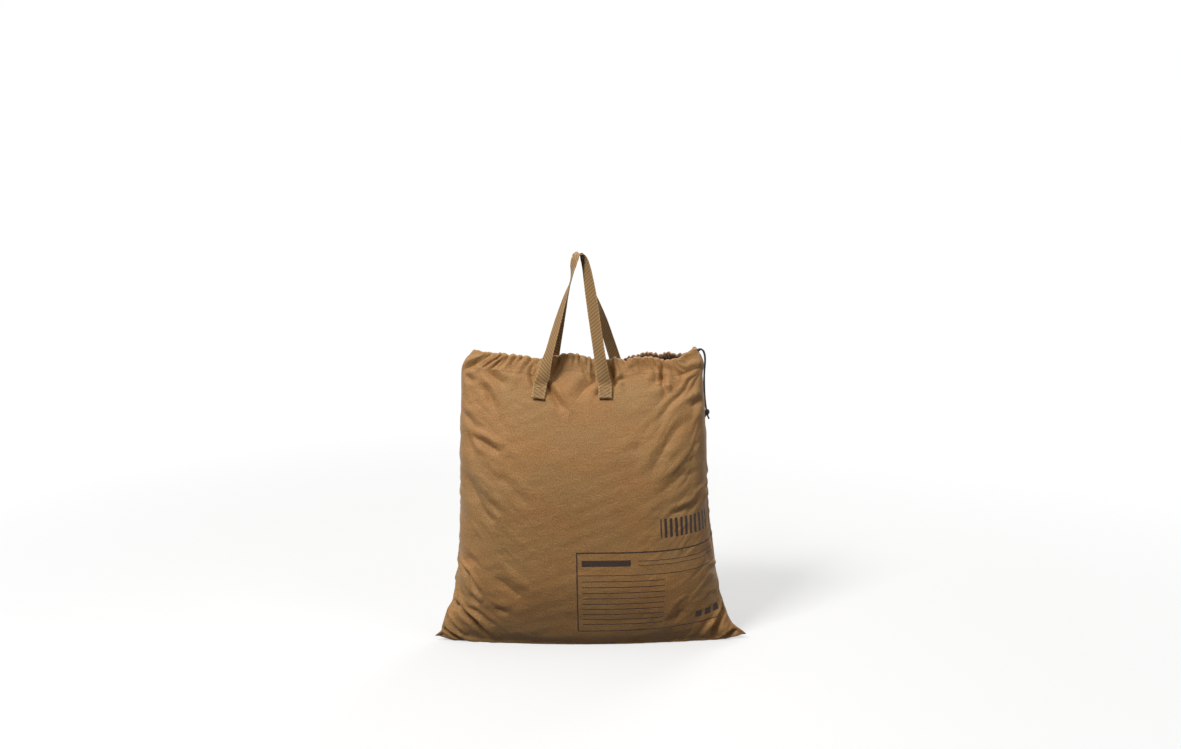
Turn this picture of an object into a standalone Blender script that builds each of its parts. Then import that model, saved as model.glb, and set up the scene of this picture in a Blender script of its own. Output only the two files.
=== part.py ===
"""Drawstring carry bag with two webbing handles, packed with a folded
inflatable double sofa: its seat chamber and its back-and-arms chamber, each a
woven cover round an air bladder, with a screw valve and a zip.

Metres, +Z up. The origin is on the floor under the middle of the bag, the bag's
printed front faces -Y and the cord leaves the mouth at its +X corner.
"""

import math

import bmesh
import bpy
import numpy as np
from mathutils import Matrix, Vector

# Clearances shared by every piece
GAP = 0.0003
CUT_OVERRUN = 0.002
WALL_CLEARANCE = 0.0012

# The bag: two equal panels of coated Oxford cloth, sewn together at the sides
# and the bottom, with a cord casing folded inwards along the mouth
SEAM_SPAN = 0.694
BAG_DEPTH = 0.2238
MOUTH_HEIGHT = 0.650
PANEL_LENGTH = 0.710
PANEL_THICKNESS = 0.0012
CASING_DROP = 0.040
CASING_WIDTH = 0.0084
CASING_CROWN = 0.0026
CASING_END_share = 0.996
CASING_ROW_shares = (0.05, 0.35, 0.62)
HEM_STITCH_share = 0.9

# Side seam, from the bottom corner up: share of the panel's length, then the
# seam's distance left and right as shares of half the seam span, its depth as a
# share of half the bag's depth and its height as a share of the mouth's height
SIDE_SEAM_shares = (
    (0.00, 1.000, 1.000, -0.335, 0.000),
    (0.03, 0.972, 0.968, -0.350, 0.024),
    (0.06, 0.948, 0.925, -0.320, 0.050),
    (0.10, 0.920, 0.872, -0.270, 0.088),
    (0.14, 0.894, 0.842, -0.215, 0.128),
    (0.20, 0.868, 0.822, -0.145, 0.190),
    (0.27, 0.845, 0.808, -0.090, 0.262),
    (0.35, 0.830, 0.786, -0.045, 0.346),
    (0.50, 0.816, 0.758, 0.000, 0.500),
    (0.65, 0.812, 0.749, 0.020, 0.652),
    (0.80, 0.801, 0.743, 0.070, 0.800),
    (0.90, 0.795, 0.729, 0.107, 0.900),
    (0.94, 0.792, 0.735, 0.135, 0.940),
    (0.97, 0.772, 0.723, 0.165, 0.970),
    (1.00, 0.722, 0.690, 0.200, 1.000),
)

# Middle line of each panel: share of the length, depth and height. A height
# below zero is cloth that the floor presses flat
FRONT_LINE_shares = (
    (0.00, -0.335, -0.020),
    (0.03, -0.520, -0.012),
    (0.06, -0.700, 0.012),
    (0.10, -0.860, 0.046),
    (0.14, -0.945, 0.086),
    (0.20, -0.995, 0.151),
    (0.27, -1.000, 0.228),
    (0.35, -1.000, 0.315),
    (0.50, -0.980, 0.478),
    (0.65, -0.870, 0.642),
    (0.80, -0.605, 0.798),
    (0.90, -0.365, 0.900),
    (1.00, -0.112, 0.998),
)
BACK_LINE_shares = (
    (0.00, -0.335, -0.020),
    (0.04, -0.090, -0.034),
    (0.08, 0.160, -0.034),
    (0.12, 0.410, -0.020),
    (0.16, 0.650, 0.014),
    (0.20, 0.820, 0.049),
    (0.25, 0.945, 0.102),
    (0.30, 0.992, 0.157),
    (0.40, 1.000, 0.269),
    (0.50, 1.000, 0.382),
    (0.65, 0.980, 0.549),
    (0.80, 0.875, 0.715),
    (0.90, 0.730, 0.822),
    (1.00, 0.510, 0.925),
)

# How square the bag's plan is, by share of the length: 1 is a lens, 3 a box
SQUARENESS_shares = (
    (0.0, 1.35), (0.06, 1.7), (0.12, 2.2), (0.22, 2.8), (0.35, 3.1), (1.0, 3.0),
)
PANEL_ROW_shares = (
    0.0, 0.03, 0.06, 0.10, 0.14, 0.20, 0.27, 0.35, 0.43, 0.50, 0.58, 0.65, 0.72, 0.78,
    0.83, 0.87, 0.91, 0.94, 0.965, 0.985, 1.0,
)
HALF_COLUMN_shares = (0.0, 0.16, 0.32, 0.46, 0.59, 0.70, 0.79, 0.865, 0.92, 0.962, 0.988)

# Webbing handles
WEBBING_WIDTH = 0.029
WEBBING_THICKNESS = 0.0016
SEWN_LENGTH = 0.026
SEWN_DROP = 0.066
CREASE_CLEARANCE = 0.0009
HANDLE_PEAK = 0.8588
PEAK_SEPARATION = 0.029
FRONT_TABS = (-0.098, 0.038)
BACK_TABS = (-0.091, 0.084)
FRONT_TAB_LEAN_DEG = (17.0, -8.0)
BACK_TAB_LEAN_DEG = (13.0, -14.0)

# A handle's middle line, from its left sewn end to its right: share of the way
# between the ends, share of the rise to the peak, share of the way in depth to
# the peak's plane, and the heading of the webbing's width in degrees
FRONT_HANDLE_shares = (
    (0.000, 0.000, 0.00, -180.0),
    (0.036, 0.060, 0.00, -172.0),
    (0.077, 0.146, 0.03, -150.0),
    (0.151, 0.269, 0.12, -128.0),
    (0.230, 0.406, 0.30, -124.0),
    (0.318, 0.550, 0.50, -116.0),
    (0.410, 0.690, 0.68, -104.0),
    (0.486, 0.800, 0.80, -90.0),
    (0.515, 0.870, 0.87, -77.0),
    (0.535, 0.925, 0.93, -66.0),
    (0.561, 0.972, 0.97, -60.0),
    (0.598, 0.995, 1.00, -58.0),
    (0.635, 1.000, 1.00, -57.0),
    (0.672, 0.992, 1.00, -56.0),
    (0.706, 0.962, 0.96, -54.0),
    (0.735, 0.910, 0.91, -50.0),
    (0.763, 0.830, 0.83, -43.0),
    (0.808, 0.680, 0.67, -33.0),
    (0.852, 0.520, 0.48, -30.0),
    (0.892, 0.370, 0.28, -31.0),
    (0.930, 0.235, 0.12, -30.0),
    (0.962, 0.125, 0.03, -16.0),
    (0.985, 0.050, 0.00, -4.0),
    (1.000, 0.000, 0.00, 0.0),
)
BACK_HANDLE_shares = (
    (0.000, 0.000, 0.00, 180.0),
    (0.020, 0.060, 0.00, 176.0),
    (0.052, 0.150, 0.03, 160.0),
    (0.113, 0.320, 0.16, 140.0),
    (0.157, 0.450, 0.34, 137.0),
    (0.210, 0.600, 0.56, 130.0),
    (0.270, 0.750, 0.76, 126.0),
    (0.325, 0.870, 0.90, 124.0),
    (0.360, 0.940, 0.96, 123.0),
    (0.392, 0.982, 1.00, 122.0),
    (0.425, 1.000, 1.00, 122.0),
    (0.462, 0.998, 1.00, 122.0),
    (0.497, 0.972, 1.00, 120.0),
    (0.524, 0.920, 0.95, 114.0),
    (0.552, 0.850, 0.87, 100.0),
    (0.600, 0.740, 0.75, 82.0),
    (0.667, 0.620, 0.58, 62.0),
    (0.735, 0.500, 0.40, 48.0),
    (0.800, 0.380, 0.23, 42.0),
    (0.870, 0.250, 0.10, 34.0),
    (0.930, 0.130, 0.02, 16.0),
    (0.972, 0.050, 0.00, 4.0),
    (1.000, 0.000, 0.00, 0.0),
)

# Box stitching with a cross that holds each sewn end
STITCH_INSET = 0.0035
STITCH_CREASE_INSET = 0.0060
STITCH_BAND = 0.0016
STITCH_HEIGHT = 0.0005

# Drawcord
CORD_DIAMETER = 0.0040
CORD_DEPTH_IN_CASING = 0.0060
CORD_SIDES_RESOLUTION = 2
KNOT_RADIUS = 0.0066
KNOT_HEIGHT = 0.0125
KNOT_SKIRT = 0.0085

# How the cord turns out of each end of the casing, and the two hanging tails
# that carry it on from the mouth's corner down to the knot
FRONT_EXIT = ((0.2384, 0.0163, 0.6442), (0.2411, 0.0187, 0.6444))
BACK_EXIT = ((0.2386, 0.0268, 0.6346), (0.2417, 0.0251, 0.6376))
FRONT_TAIL = (
    (0.2444, 0.0188, 0.6452),
    (0.2471, 0.0189, 0.6459),
    (0.2499, 0.0191, 0.6455),
    (0.2526, 0.0194, 0.6436),
    (0.2550, 0.0200, 0.6401),
    (0.2568, 0.0208, 0.6353),
    (0.2580, 0.0219, 0.6293),
    (0.2586, 0.0232, 0.6225),
    (0.2588, 0.0246, 0.6150),
    (0.2586, 0.0261, 0.6072),
    (0.2581, 0.0277, 0.5990),
    (0.2577, 0.0294, 0.5905),
    (0.2576, 0.0309, 0.5815),
    (0.2577, 0.0322, 0.5725),
    (0.2579, 0.0332, 0.5630),
    (0.2582, 0.0339, 0.5535),
    (0.2586, 0.0343, 0.5440),
    (0.2592, 0.0346, 0.5350),
    (0.2601, 0.0348, 0.5260),
    (0.2613, 0.0351, 0.5160),
    (0.2628, 0.0355, 0.5065),
)
BACK_TAIL = (
    (0.2440, 0.0252, 0.6400),
    (0.2462, 0.0253, 0.6423),
    (0.2487, 0.0255, 0.6438),
    (0.2514, 0.0258, 0.6438),
    (0.2540, 0.0262, 0.6421),
    (0.2562, 0.0268, 0.6391),
    (0.2578, 0.0275, 0.6349),
    (0.2589, 0.0284, 0.6297),
    (0.2595, 0.0295, 0.6235),
    (0.2596, 0.0308, 0.6165),
    (0.2592, 0.0323, 0.6085),
    (0.2586, 0.0339, 0.6000),
    (0.2580, 0.0355, 0.5905),
    (0.2577, 0.0369, 0.5805),
    (0.2577, 0.0381, 0.5705),
    (0.2579, 0.0391, 0.5605),
    (0.2582, 0.0398, 0.5505),
    (0.2588, 0.0402, 0.5400),
    (0.2597, 0.0403, 0.5290),
    (0.2611, 0.0402, 0.5175),
    (0.2628, 0.0399, 0.5065),
)

# The folded sofa, which fills shares of the bag's depth, width and height: each
# chamber is folded in three, standing on a fold
RUN_THICKNESS_share = 0.1162
RUN_THICKNESS = BAG_DEPTH * RUN_THICKNESS_share
RUN_GAP = 0.0020
FOLD_RADIUS = 0.0110
FREE_END_RADIUS = 0.0050
PACK_CENTRE = -0.010
PACK_WIDTH_share = 0.5908
PACK_HALF_WIDTH = SEAM_SPAN * PACK_WIDTH_share / 2
PACK_TOP_share = 0.6954
PACK_TOP = MOUTH_HEIGHT * PACK_TOP_share
COVER_WALL = 0.0015
FOLD_STEPS = 4

# Screw valve on each chamber
VALVE_OFFSET = 0.120
VALVE_SIDES = 32
FLANGE_RADIUS = 0.0190
FLANGE_THICKNESS = 0.0020
NECK_RADIUS = 0.0130
NECK_BORE = 0.0105
NECK_HEIGHT = 0.0090
INSERT_WALL = 0.0026
INSERT_LIP = 0.0012
SEAT_BAR_WIDTH = 0.0034
SEAT_BAR_HEIGHT = 0.0020
FLAP_RADIUS = 0.0090
FLAP_THICKNESS = 0.0008
FLAP_STEM_RADIUS = 0.0009
FLAP_HEAD_RADIUS = 0.0016
FLAP_HEAD_HEIGHT = 0.0008
CAP_RADIUS = 0.0168
CAP_WALL = 0.0018
CAP_RIBS = 16
CAP_RIB_RADIUS = 0.0009

# Zip that closes each cover
ZIP_END_MARGIN = 0.015
ZIP_LENGTH = 2 * (PACK_HALF_WIDTH - ZIP_END_MARGIN)
ZIP_TAPE_WIDTH = 0.0220
ZIP_TAPE_THICKNESS = 0.0008
ZIP_CHAIN_WIDTH = 0.0050
ZIP_CHAIN_HEIGHT = 0.0012
ZIP_SLOT_WIDTH = 0.0060
SLIDER_LENGTH = 0.0120
SLIDER_WIDTH = 0.0090
SLIDER_HEIGHT = 0.0030
SLIDER_END_MARGIN = 0.0040
LUG_THICKNESS = 0.0012
LUG_LENGTH = 0.0036
PIN_RADIUS = 0.0007
PIN_HEIGHT = 0.0024
KNUCKLE_RADIUS = 0.0018
KNUCKLE_BORE = 0.0011
PULL_LENGTH = 0.0260
PULL_THICKNESS = 0.0014
PULL_WIDTH = 0.0060
PULL_CORNER = 0.0022

FRONT = -1
BACK = 1

COLLECTION_NAME = "packed_double_sofa"
CUTTER_COLLECTION_NAME = "cutters"


# Scene and materials

def clear_scene():
    for item in list(bpy.data.objects):
        bpy.data.objects.remove(item, do_unlink=True)


def make_collection(name):
    collection = bpy.data.collections.new(name)
    bpy.context.scene.collection.children.link(collection)
    return collection


def make_material(name, colour, roughness, metallic=0.0):
    material = bpy.data.materials.new(name)
    material.use_nodes = True
    shader = material.node_tree.nodes["Principled BSDF"]
    shader.inputs["Base Color"].default_value = (*colour, 1.0)
    shader.inputs["Roughness"].default_value = roughness
    shader.inputs["Metallic"].default_value = metallic
    return material


def add_object(name, data, material, collection):
    item = bpy.data.objects.new(name, data)
    collection.objects.link(item)
    if material:
        data.materials.clear()
        data.materials.append(material)
    return item


def mesh_from_bmesh(name, bm):
    mesh = bpy.data.meshes.new(name)
    bm.to_mesh(mesh)
    bm.free()
    return mesh


def shade(item, angle_deg=35.0):
    item.data.shade_smooth()
    item.data.set_sharp_from_angle(angle=math.radians(angle_deg))


def curve_to_mesh(item, collection):
    """The curve object's evaluated mesh as a new closed mesh object."""
    depsgraph = bpy.context.evaluated_depsgraph_get()
    mesh = bpy.data.meshes.new_from_object(item.evaluated_get(depsgraph))
    bm = bmesh.new()
    bm.from_mesh(mesh)
    bmesh.ops.remove_doubles(bm, verts=bm.verts, dist=GAP / 6)
    bm.to_mesh(mesh)
    bm.free()
    name = item.name
    matrix = item.matrix_world.copy()
    material = item.data.materials[0] if item.data.materials else None
    bpy.data.objects.remove(item, do_unlink=True)
    solid = add_object(name, mesh, material, collection)
    solid.matrix_world = matrix
    return solid


def cut(item, cutter, operation="DIFFERENCE"):
    modifier = item.modifiers.new(cutter.name, "BOOLEAN")
    modifier.operation = operation
    modifier.object = cutter
    cutter.hide_render = True
    cutter.display_type = "WIRE"


# The bag's shape

def interpolate(table, share, column):
    return float(np.interp(share, [row[0] for row in table], [row[column] for row in table]))


def panel_point(side, length_share, column_share):
    """Middle of the cloth of one panel: column_share runs from -1 to 1."""
    half_span = SEAM_SPAN / 2
    half_depth = BAG_DEPTH / 2
    reach_column = 1 if column_share < 0 else 2
    reach = interpolate(SIDE_SEAM_shares, length_share, reach_column) * half_span
    seam_y = interpolate(SIDE_SEAM_shares, length_share, 3) * half_depth
    seam_z = interpolate(SIDE_SEAM_shares, length_share, 4) * MOUTH_HEIGHT
    line = FRONT_LINE_shares if side == FRONT else BACK_LINE_shares
    line_y = interpolate(line, length_share, 1) * half_depth
    line_z = interpolate(line, length_share, 2) * MOUTH_HEIGHT
    power = interpolate(SQUARENESS_shares, length_share, 1)
    fullness = (1 - abs(column_share) ** power) ** (1 / power)
    seam_offset = side * (PANEL_THICKNESS + GAP) / 2
    y = seam_y + seam_offset + (line_y - seam_y) * fullness
    z = seam_z + (line_z - seam_z) * fullness
    return Vector((column_share * reach, y, max(z, PANEL_THICKNESS / 2)))


def column_shares(length_share):
    """Columns from the left seam to the right: short of the seams in the casing."""
    casing_start = 1 - CASING_DROP / PANEL_LENGTH
    end = CASING_END_share if length_share > casing_start else 1.0
    half = HALF_COLUMN_shares + (end,)
    return [-share for share in reversed(half[1:])] + list(half)


def inward(side, length_share, column_share):
    """Horizontal unit vector into the bag at a point of a panel."""
    step = CASING_END_share - HALF_COLUMN_shares[-1]
    before = panel_point(side, length_share, max(column_share - step, -1.0))
    after = panel_point(side, length_share, min(column_share + step, 1.0))
    along = after - before
    normal = Vector((-along.y, along.x, 0.0)) * -side
    return normal.normalized()


def casing_fold():
    """Inward offset and height above the mouth of each row of the folded hem."""
    half = CASING_WIDTH / 2
    crown = [
        (half * (1 - math.cos(angle)), CASING_CROWN * math.sin(angle))
        for angle in (math.radians(degrees) for degrees in (45.0, 90.0, 135.0))
    ]
    sewn = PANEL_THICKNESS + GAP
    down = [(CASING_WIDTH, -CASING_DROP * share) for share in CASING_ROW_shares]
    return crown + down + [(sewn, -CASING_DROP * HEM_STITCH_share), (sewn, -CASING_DROP)]


def hem_point(side, column_share, offset, rise):
    length_share = min(1.0, 1.0 + rise / PANEL_LENGTH)
    point = panel_point(side, length_share, column_share)
    point += inward(side, length_share, column_share) * offset
    if rise > 0:
        point.z += rise
    return point


def panel_rows(side):
    rows = [
        [panel_point(side, share, column) for column in column_shares(share)]
        for share in PANEL_ROW_shares
    ]
    columns = column_shares(1.0)
    for offset, rise in casing_fold():
        rows.append([hem_point(side, column, offset, rise) for column in columns])
    return rows


def lofted_sheet(name, rows, thickness, material, collection):
    """A closed sheet of the given thickness, half on each side of the rows."""
    bm = bmesh.new()
    grid = [[bm.verts.new(point) for point in row] for row in rows]
    for lower, upper in zip(grid, grid[1:]):
        for left in range(len(lower) - 1):
            right = left + 1
            bm.faces.new((lower[left], lower[right], upper[right], upper[left]))
    item = add_object(name, mesh_from_bmesh(name, bm), material, collection)
    solidify = item.modifiers.new("thickness", "SOLIDIFY")
    solidify.thickness = thickness
    solidify.offset = 0.0
    shade(item, 50.0)
    return item


def make_bag_panels(material, collection):
    lofted_sheet("bag_front_panel", panel_rows(FRONT), PANEL_THICKNESS, material, collection)
    lofted_sheet("bag_back_panel", panel_rows(BACK), PANEL_THICKNESS, material, collection)


def panel_samples(side, per_quad=6):
    """Points of the faceted panel up to the mouth, on its facets and both diagonals."""
    rows = panel_rows(side)[:len(PANEL_ROW_shares)]
    grid = np.array([[tuple(point) for point in row] for row in rows])
    low_left, low_right = grid[:-1, :-1], grid[:-1, 1:]
    top_left, top_right = grid[1:, :-1], grid[1:, 1:]
    samples = []
    for up in np.linspace(0.0, 1.0, per_quad + 1):
        samples.append(low_left * (1 - up) + top_right * up)
        samples.append(low_right * (1 - up) + top_left * up)
        left = low_left * (1 - up) + top_left * up
        right = low_right * (1 - up) + top_right * up
        for across in np.linspace(0.0, 1.0, per_quad + 1):
            samples.append(left * (1 - across) + right * across)
    return np.concatenate([points.reshape(-1, 3) for points in samples])


# Handles

def surface_near(samples, x, z):
    """Depth of the panel at a place, from its nearest samples."""
    distance = (samples[:, 0] - x) ** 2 + (samples[:, 2] - z) ** 2
    nearest = np.argsort(distance)[:6]
    return float(samples[nearest, 1].mean())


def hinge_height(side):
    line = FRONT_LINE_shares if side == FRONT else BACK_LINE_shares
    return line[-1][2] * MOUTH_HEIGHT - SEWN_DROP


def tab_frame(side, samples, tab_x, lean_deg):
    """Middle of a sewn end's top edge, and its directions across, up and outwards.

    The top edge is level, because it is the crease that the free webbing swings on.
    """
    lean = math.radians(lean_deg)
    top_z = hinge_height(side)
    foot_x = tab_x - math.sin(lean) * SEWN_LENGTH
    foot_z = top_z - math.cos(lean) * SEWN_LENGTH
    top = Vector((tab_x, surface_near(samples, tab_x, top_z), top_z))
    rise = top - Vector((foot_x, surface_near(samples, foot_x, foot_z), foot_z))
    level = Vector((1.0, 0.0, 0.0))
    slope = Vector((0.0, rise.y, rise.z)).normalized()
    out = level.cross(slope) * -side
    wide = (level * math.cos(lean) - slope * math.sin(lean)) * -side
    up = level * math.sin(lean) + slope * math.cos(lean)
    relative = samples - np.array(top)
    across = np.abs(relative @ np.array(wide))
    below = relative @ np.array(up)
    under = (across < WEBBING_WIDTH * 0.7) & (below < WEBBING_WIDTH / 2) & (below > -SEWN_LENGTH * 1.4)
    proud = float((relative[under] @ np.array(out)).max())
    seat = proud + PANEL_THICKNESS / 2 + GAP + WEBBING_THICKNESS / 2
    top += out * seat
    above = top.z + out.z * WEBBING_THICKNESS / 2 - top_z
    return top - slope * (above / slope.z), wide, up, out


def sewn_end(name, side, frame, lean_deg, material, collection):
    """The flat end of the webbing: square at the foot, level at the crease."""
    top, wide, up, out = frame
    half = WEBBING_WIDTH / 2
    skew = -side * half * math.tan(math.radians(lean_deg))
    foot = SEWN_LENGTH
    outline = [(-half, -foot), (half, -foot), (half, skew), (-half, -skew)]
    end = flat_curve(name, [outline], WEBBING_THICKNESS / 2, material, collection)
    matrix = Matrix((wide, up, out)).transposed().to_4x4()
    matrix.translation = top
    end.matrix_world = matrix
    return curve_to_mesh(end, collection)


def stitch_outline(width, length):
    """Outer edge and the four triangular windows of box-and-cross stitching."""
    half_w = width / 2
    half_l = length / 2
    band = STITCH_BAND
    slope = length / width
    outer = [(-half_w, -half_l), (half_w, -half_l), (half_w, half_l), (-half_w, half_l)]
    inner_w = half_w - band
    inner_l = half_l - band
    shift = band / 2 * math.hypot(1.0, slope)
    side_reach = inner_w * slope - shift
    end_reach = (inner_l - shift) / slope
    windows = []
    for sign in (-1, 1):
        windows.append([
            (sign * inner_w, -side_reach), (sign * inner_w, side_reach), (sign * shift / slope, 0.0),
        ])
        windows.append([
            (-end_reach, sign * inner_l), (end_reach, sign * inner_l), (0.0, sign * shift),
        ])
    return outer, windows


def flat_curve(name, outlines, half_thickness, material, collection):
    curve = bpy.data.curves.new(name, "CURVE")
    curve.dimensions = "2D"
    curve.fill_mode = "BOTH"
    curve.extrude = half_thickness
    for outline in outlines:
        spline = curve.splines.new("POLY")
        spline.points.add(len(outline) - 1)
        for point, place in zip(spline.points, outline):
            point.co = (place[0], place[1], 0.0, 1.0)
        spline.use_cyclic_u = True
    return add_object(name, curve, material, collection)


def sewn_end_stitching(name, frame, material, collection):
    """Raised thread of one sewn end, just clear of the webbing."""
    top, wide, up, out = frame
    length = SEWN_LENGTH - STITCH_INSET - STITCH_CREASE_INSET
    outer, windows = stitch_outline(WEBBING_WIDTH - 2 * STITCH_INSET, length)
    square = flat_curve(name, [outer] + windows, STITCH_HEIGHT / 2, material, collection)
    lift = WEBBING_THICKNESS / 2 + GAP + STITCH_HEIGHT / 2
    matrix = Matrix((wide, up, out)).transposed().to_4x4()
    matrix.translation = top - up * (STITCH_CREASE_INSET + length / 2) + out * lift
    square.matrix_world = matrix
    return curve_to_mesh(square, collection)


def handle_middle_line(side, table, tabs, hinge_y):
    """Places and width directions of the free webbing of one handle."""
    hinge_z = hinge_height(side)
    base_y = hinge_y - side * WEBBING_THICKNESS / 2
    peak_y = side * PEAK_SEPARATION / 2
    clear = CREASE_CLEARANCE / (HANDLE_PEAK - hinge_z)
    places = []
    for across, rise, depth, heading in table:
        lifted = clear + rise * (1 - clear)
        place = Vector((
            tabs[0] + (tabs[1] - tabs[0]) * across,
            base_y + (peak_y - base_y) * depth,
            hinge_z + (HANDLE_PEAK - WEBBING_THICKNESS / 2 - hinge_z) * lifted,
        ))
        places.append((place, math.radians(heading)))
    return places


def webbing_rows(places):
    rows = []
    last = len(places) - 1
    for index, (place, heading) in enumerate(places):
        before = places[max(index - 1, 0)][0]
        after = places[min(index + 1, last)][0]
        along = (after - before).normalized()
        wide = Vector((math.cos(heading), math.sin(heading), 0.0))
        wide = (wide - along * wide.dot(along)).normalized()
        half = wide * WEBBING_WIDTH / 2
        if index in (0, last):
            half = Vector((half.length / wide.x, 0.0, 0.0))
        rows.append([place - half, place, place + half])
    return rows


def make_handle(prefix, side, table, tabs, leans, materials, collection):
    samples = panel_samples(side)
    frames = [tab_frame(side, samples, x, lean) for x, lean in zip(tabs, leans)]
    for word, frame, lean in zip(("left", "right"), frames, leans):
        sewn_end(
            f"{prefix}_handle_{word}_sewn_end", side, frame, lean, materials["webbing"], collection)
        sewn_end_stitching(
            f"{prefix}_handle_{word}_stitching", frame, materials["thread"], collection)
    hinge_y = side * max(side * (top + out * WEBBING_THICKNESS / 2).y for top, wide, up, out in frames)
    rows = webbing_rows(handle_middle_line(side, table, tabs, hinge_y))
    loop = lofted_sheet(
        f"{prefix}_handle_loop", rows, WEBBING_THICKNESS, materials["webbing"], collection)
    hinge = Vector((0.0, hinge_y, hinge_height(side)))
    move_origin(loop, hinge)
    print(prefix, "handle hinge at", [round(value, 5) for value in hinge])


def move_origin(item, place):
    """Put the object's origin at a place and keep its shape where it is."""
    item.data.transform(Matrix.Translation(-place))
    item.location = place


# Drawcord

def tube(name, points, radius, material, collection):
    curve = bpy.data.curves.new(name, "CURVE")
    curve.dimensions = "3D"
    curve.bevel_depth = radius
    curve.bevel_resolution = CORD_SIDES_RESOLUTION
    curve.use_fill_caps = True
    spline = curve.splines.new("POLY")
    spline.points.add(len(points) - 1)
    for point, place in zip(spline.points, points):
        point.co = (*place, 1.0)
    return add_object(name, curve, material, collection)


def casing_cord_points():
    """Through the front casing to the left corner and back through the rear one."""
    columns = column_shares(1.0)
    points = []
    for side, ordered in ((FRONT, list(reversed(columns))), (BACK, columns)):
        for column in ordered:
            points.append(hem_point(side, column, CASING_WIDTH / 2, -CORD_DEPTH_IN_CASING))
    half = len(columns)
    corner = (points[half - 1] + points[half]) / 2
    corner.x -= CORD_DIAMETER / 2
    front_way_out = [end_before(FRONT_TAIL)] + [Vector(place) for place in reversed(FRONT_EXIT)]
    back_way_out = [Vector(place) for place in BACK_EXIT] + [end_before(BACK_TAIL)]
    return front_way_out + points[:half] + [corner] + points[half:] + back_way_out


def end_before(tail):
    """Where the cord in the casing ends, face to face with the start of a tail."""
    start = Vector(tail[0])
    return start - (Vector(tail[1]) - start).normalized() * GAP


def make_drawcord(material, collection):
    tube("drawcord_in_casing", casing_cord_points(), CORD_DIAMETER / 2, material, collection)
    tube("cord_tail_front", FRONT_TAIL, CORD_DIAMETER / 2, material, collection)
    tube("cord_tail_back", BACK_TAIL, CORD_DIAMETER / 2, material, collection)
    ends = (Vector(FRONT_TAIL[-1]) + Vector(BACK_TAIL[-1])) / 2
    profile = [(0.0, -GAP)]
    for degrees in (60.0, 30.0, 0.0, -30.0):
        angle = math.radians(degrees)
        profile.append((
            KNOT_RADIUS * math.cos(angle),
            -GAP - KNOT_HEIGHT / 2 + KNOT_HEIGHT / 2 * math.sin(angle),
        ))
    profile.append((CORD_DIAMETER * 0.6, -KNOT_HEIGHT))
    profile.append((CORD_DIAMETER * 0.9, -KNOT_HEIGHT - KNOT_SKIRT))
    profile.append((0.0, -KNOT_HEIGHT - KNOT_SKIRT))
    knot = turned("cord_knot", profile, 16, material, collection)
    knot.location = ends


# Turned pieces

def turned(name, profile, sides, material, collection):
    """A closed solid from a profile of (radius, height) that starts at the top."""
    bm = bmesh.new()
    verts = [bm.verts.new((radius, 0.0, height)) for radius, height in profile]
    closed = profile[0][0] > 0
    pairs = list(zip(verts, verts[1:])) + ([(verts[-1], verts[0])] if closed else [])
    for first, second in pairs:
        bm.edges.new((first, second))
    item = add_object(name, mesh_from_bmesh(name, bm), material, collection)
    screw = item.modifiers.new("turn", "SCREW")
    screw.steps = sides
    screw.render_steps = sides
    screw.use_merge_vertices = True
    screw.merge_threshold = GAP / 10
    screw.use_smooth_shade = True
    return item


# The folded sofa

def pack_runs(side):
    """Depth bounds of a chamber's three runs, outermost first."""
    pitch = RUN_THICKNESS + RUN_GAP
    runs = []
    for index in (2, 1, 0):
        inner = RUN_GAP / 2 + index * pitch
        runs.append(tuple(sorted((side * inner, side * (inner + RUN_THICKNESS)))))
    return runs


def blocking_heights(samples, near_y, far_y):
    """Heights of the cloth that a run between two depths would meet."""
    half = PACK_HALF_WIDTH + WALL_CLEARANCE
    heights = []
    for side in (FRONT, BACK):
        cloth = samples[side]
        beside = np.abs(cloth[:, 0] - PACK_CENTRE) < half
        if side == FRONT:
            inside = cloth[:, 1] > near_y - WALL_CLEARANCE
        else:
            inside = cloth[:, 1] < far_y + WALL_CLEARANCE
        heights.append(cloth[beside & inside, 2])
    return np.concatenate(heights)


def lowest_rest(samples, near_y, far_y, corner_radius):
    """Height of a run's underside when its rounded corners rest on the cloth."""
    half = PACK_HALF_WIDTH + WALL_CLEARANCE
    cloth = np.concatenate((samples[FRONT], samples[BACK]))
    beside = np.abs(cloth[:, 0] - PACK_CENTRE) < half
    inset = np.minimum(cloth[:, 1] - near_y, far_y - cloth[:, 1]) + WALL_CLEARANCE
    below = cloth[:, 2] < MOUTH_HEIGHT / 3
    under = beside & below & (inset > 0)
    short = np.clip(corner_radius - inset[under], 0.0, corner_radius)
    corner_rise = corner_radius - np.sqrt(corner_radius ** 2 - short ** 2)
    return float((cloth[under, 2] - corner_rise).max()) + PANEL_THICKNESS / 2 + GAP


def highest_reach(samples, near_y, far_y):
    """Greatest height that a run between two depths can have under the cloth."""
    heights = blocking_heights(samples, near_y, far_y)
    above = heights[heights > MOUTH_HEIGHT / 3]
    return min(float(above.min()) - WALL_CLEARANCE, PACK_TOP)


def rounded(points, radii):
    """The outline with its corners turned into arcs of the given radii."""
    outline = []
    count = len(points)
    for index, (point, radius) in enumerate(zip(points, radii)):
        here = Vector(point)
        if radius <= 0:
            outline.append(tuple(here))
            continue
        before = (Vector(points[index - 1]) - here).normalized()
        after = (Vector(points[(index + 1) % count]) - here).normalized()
        centre = here + (before + after) * radius
        for step in range(FOLD_STEPS + 1):
            turn = math.pi / 2 * step / FOLD_STEPS
            place = centre - after * radius * math.cos(turn) - before * radius * math.sin(turn)
            outline.append(tuple(place))
    return outline


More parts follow.
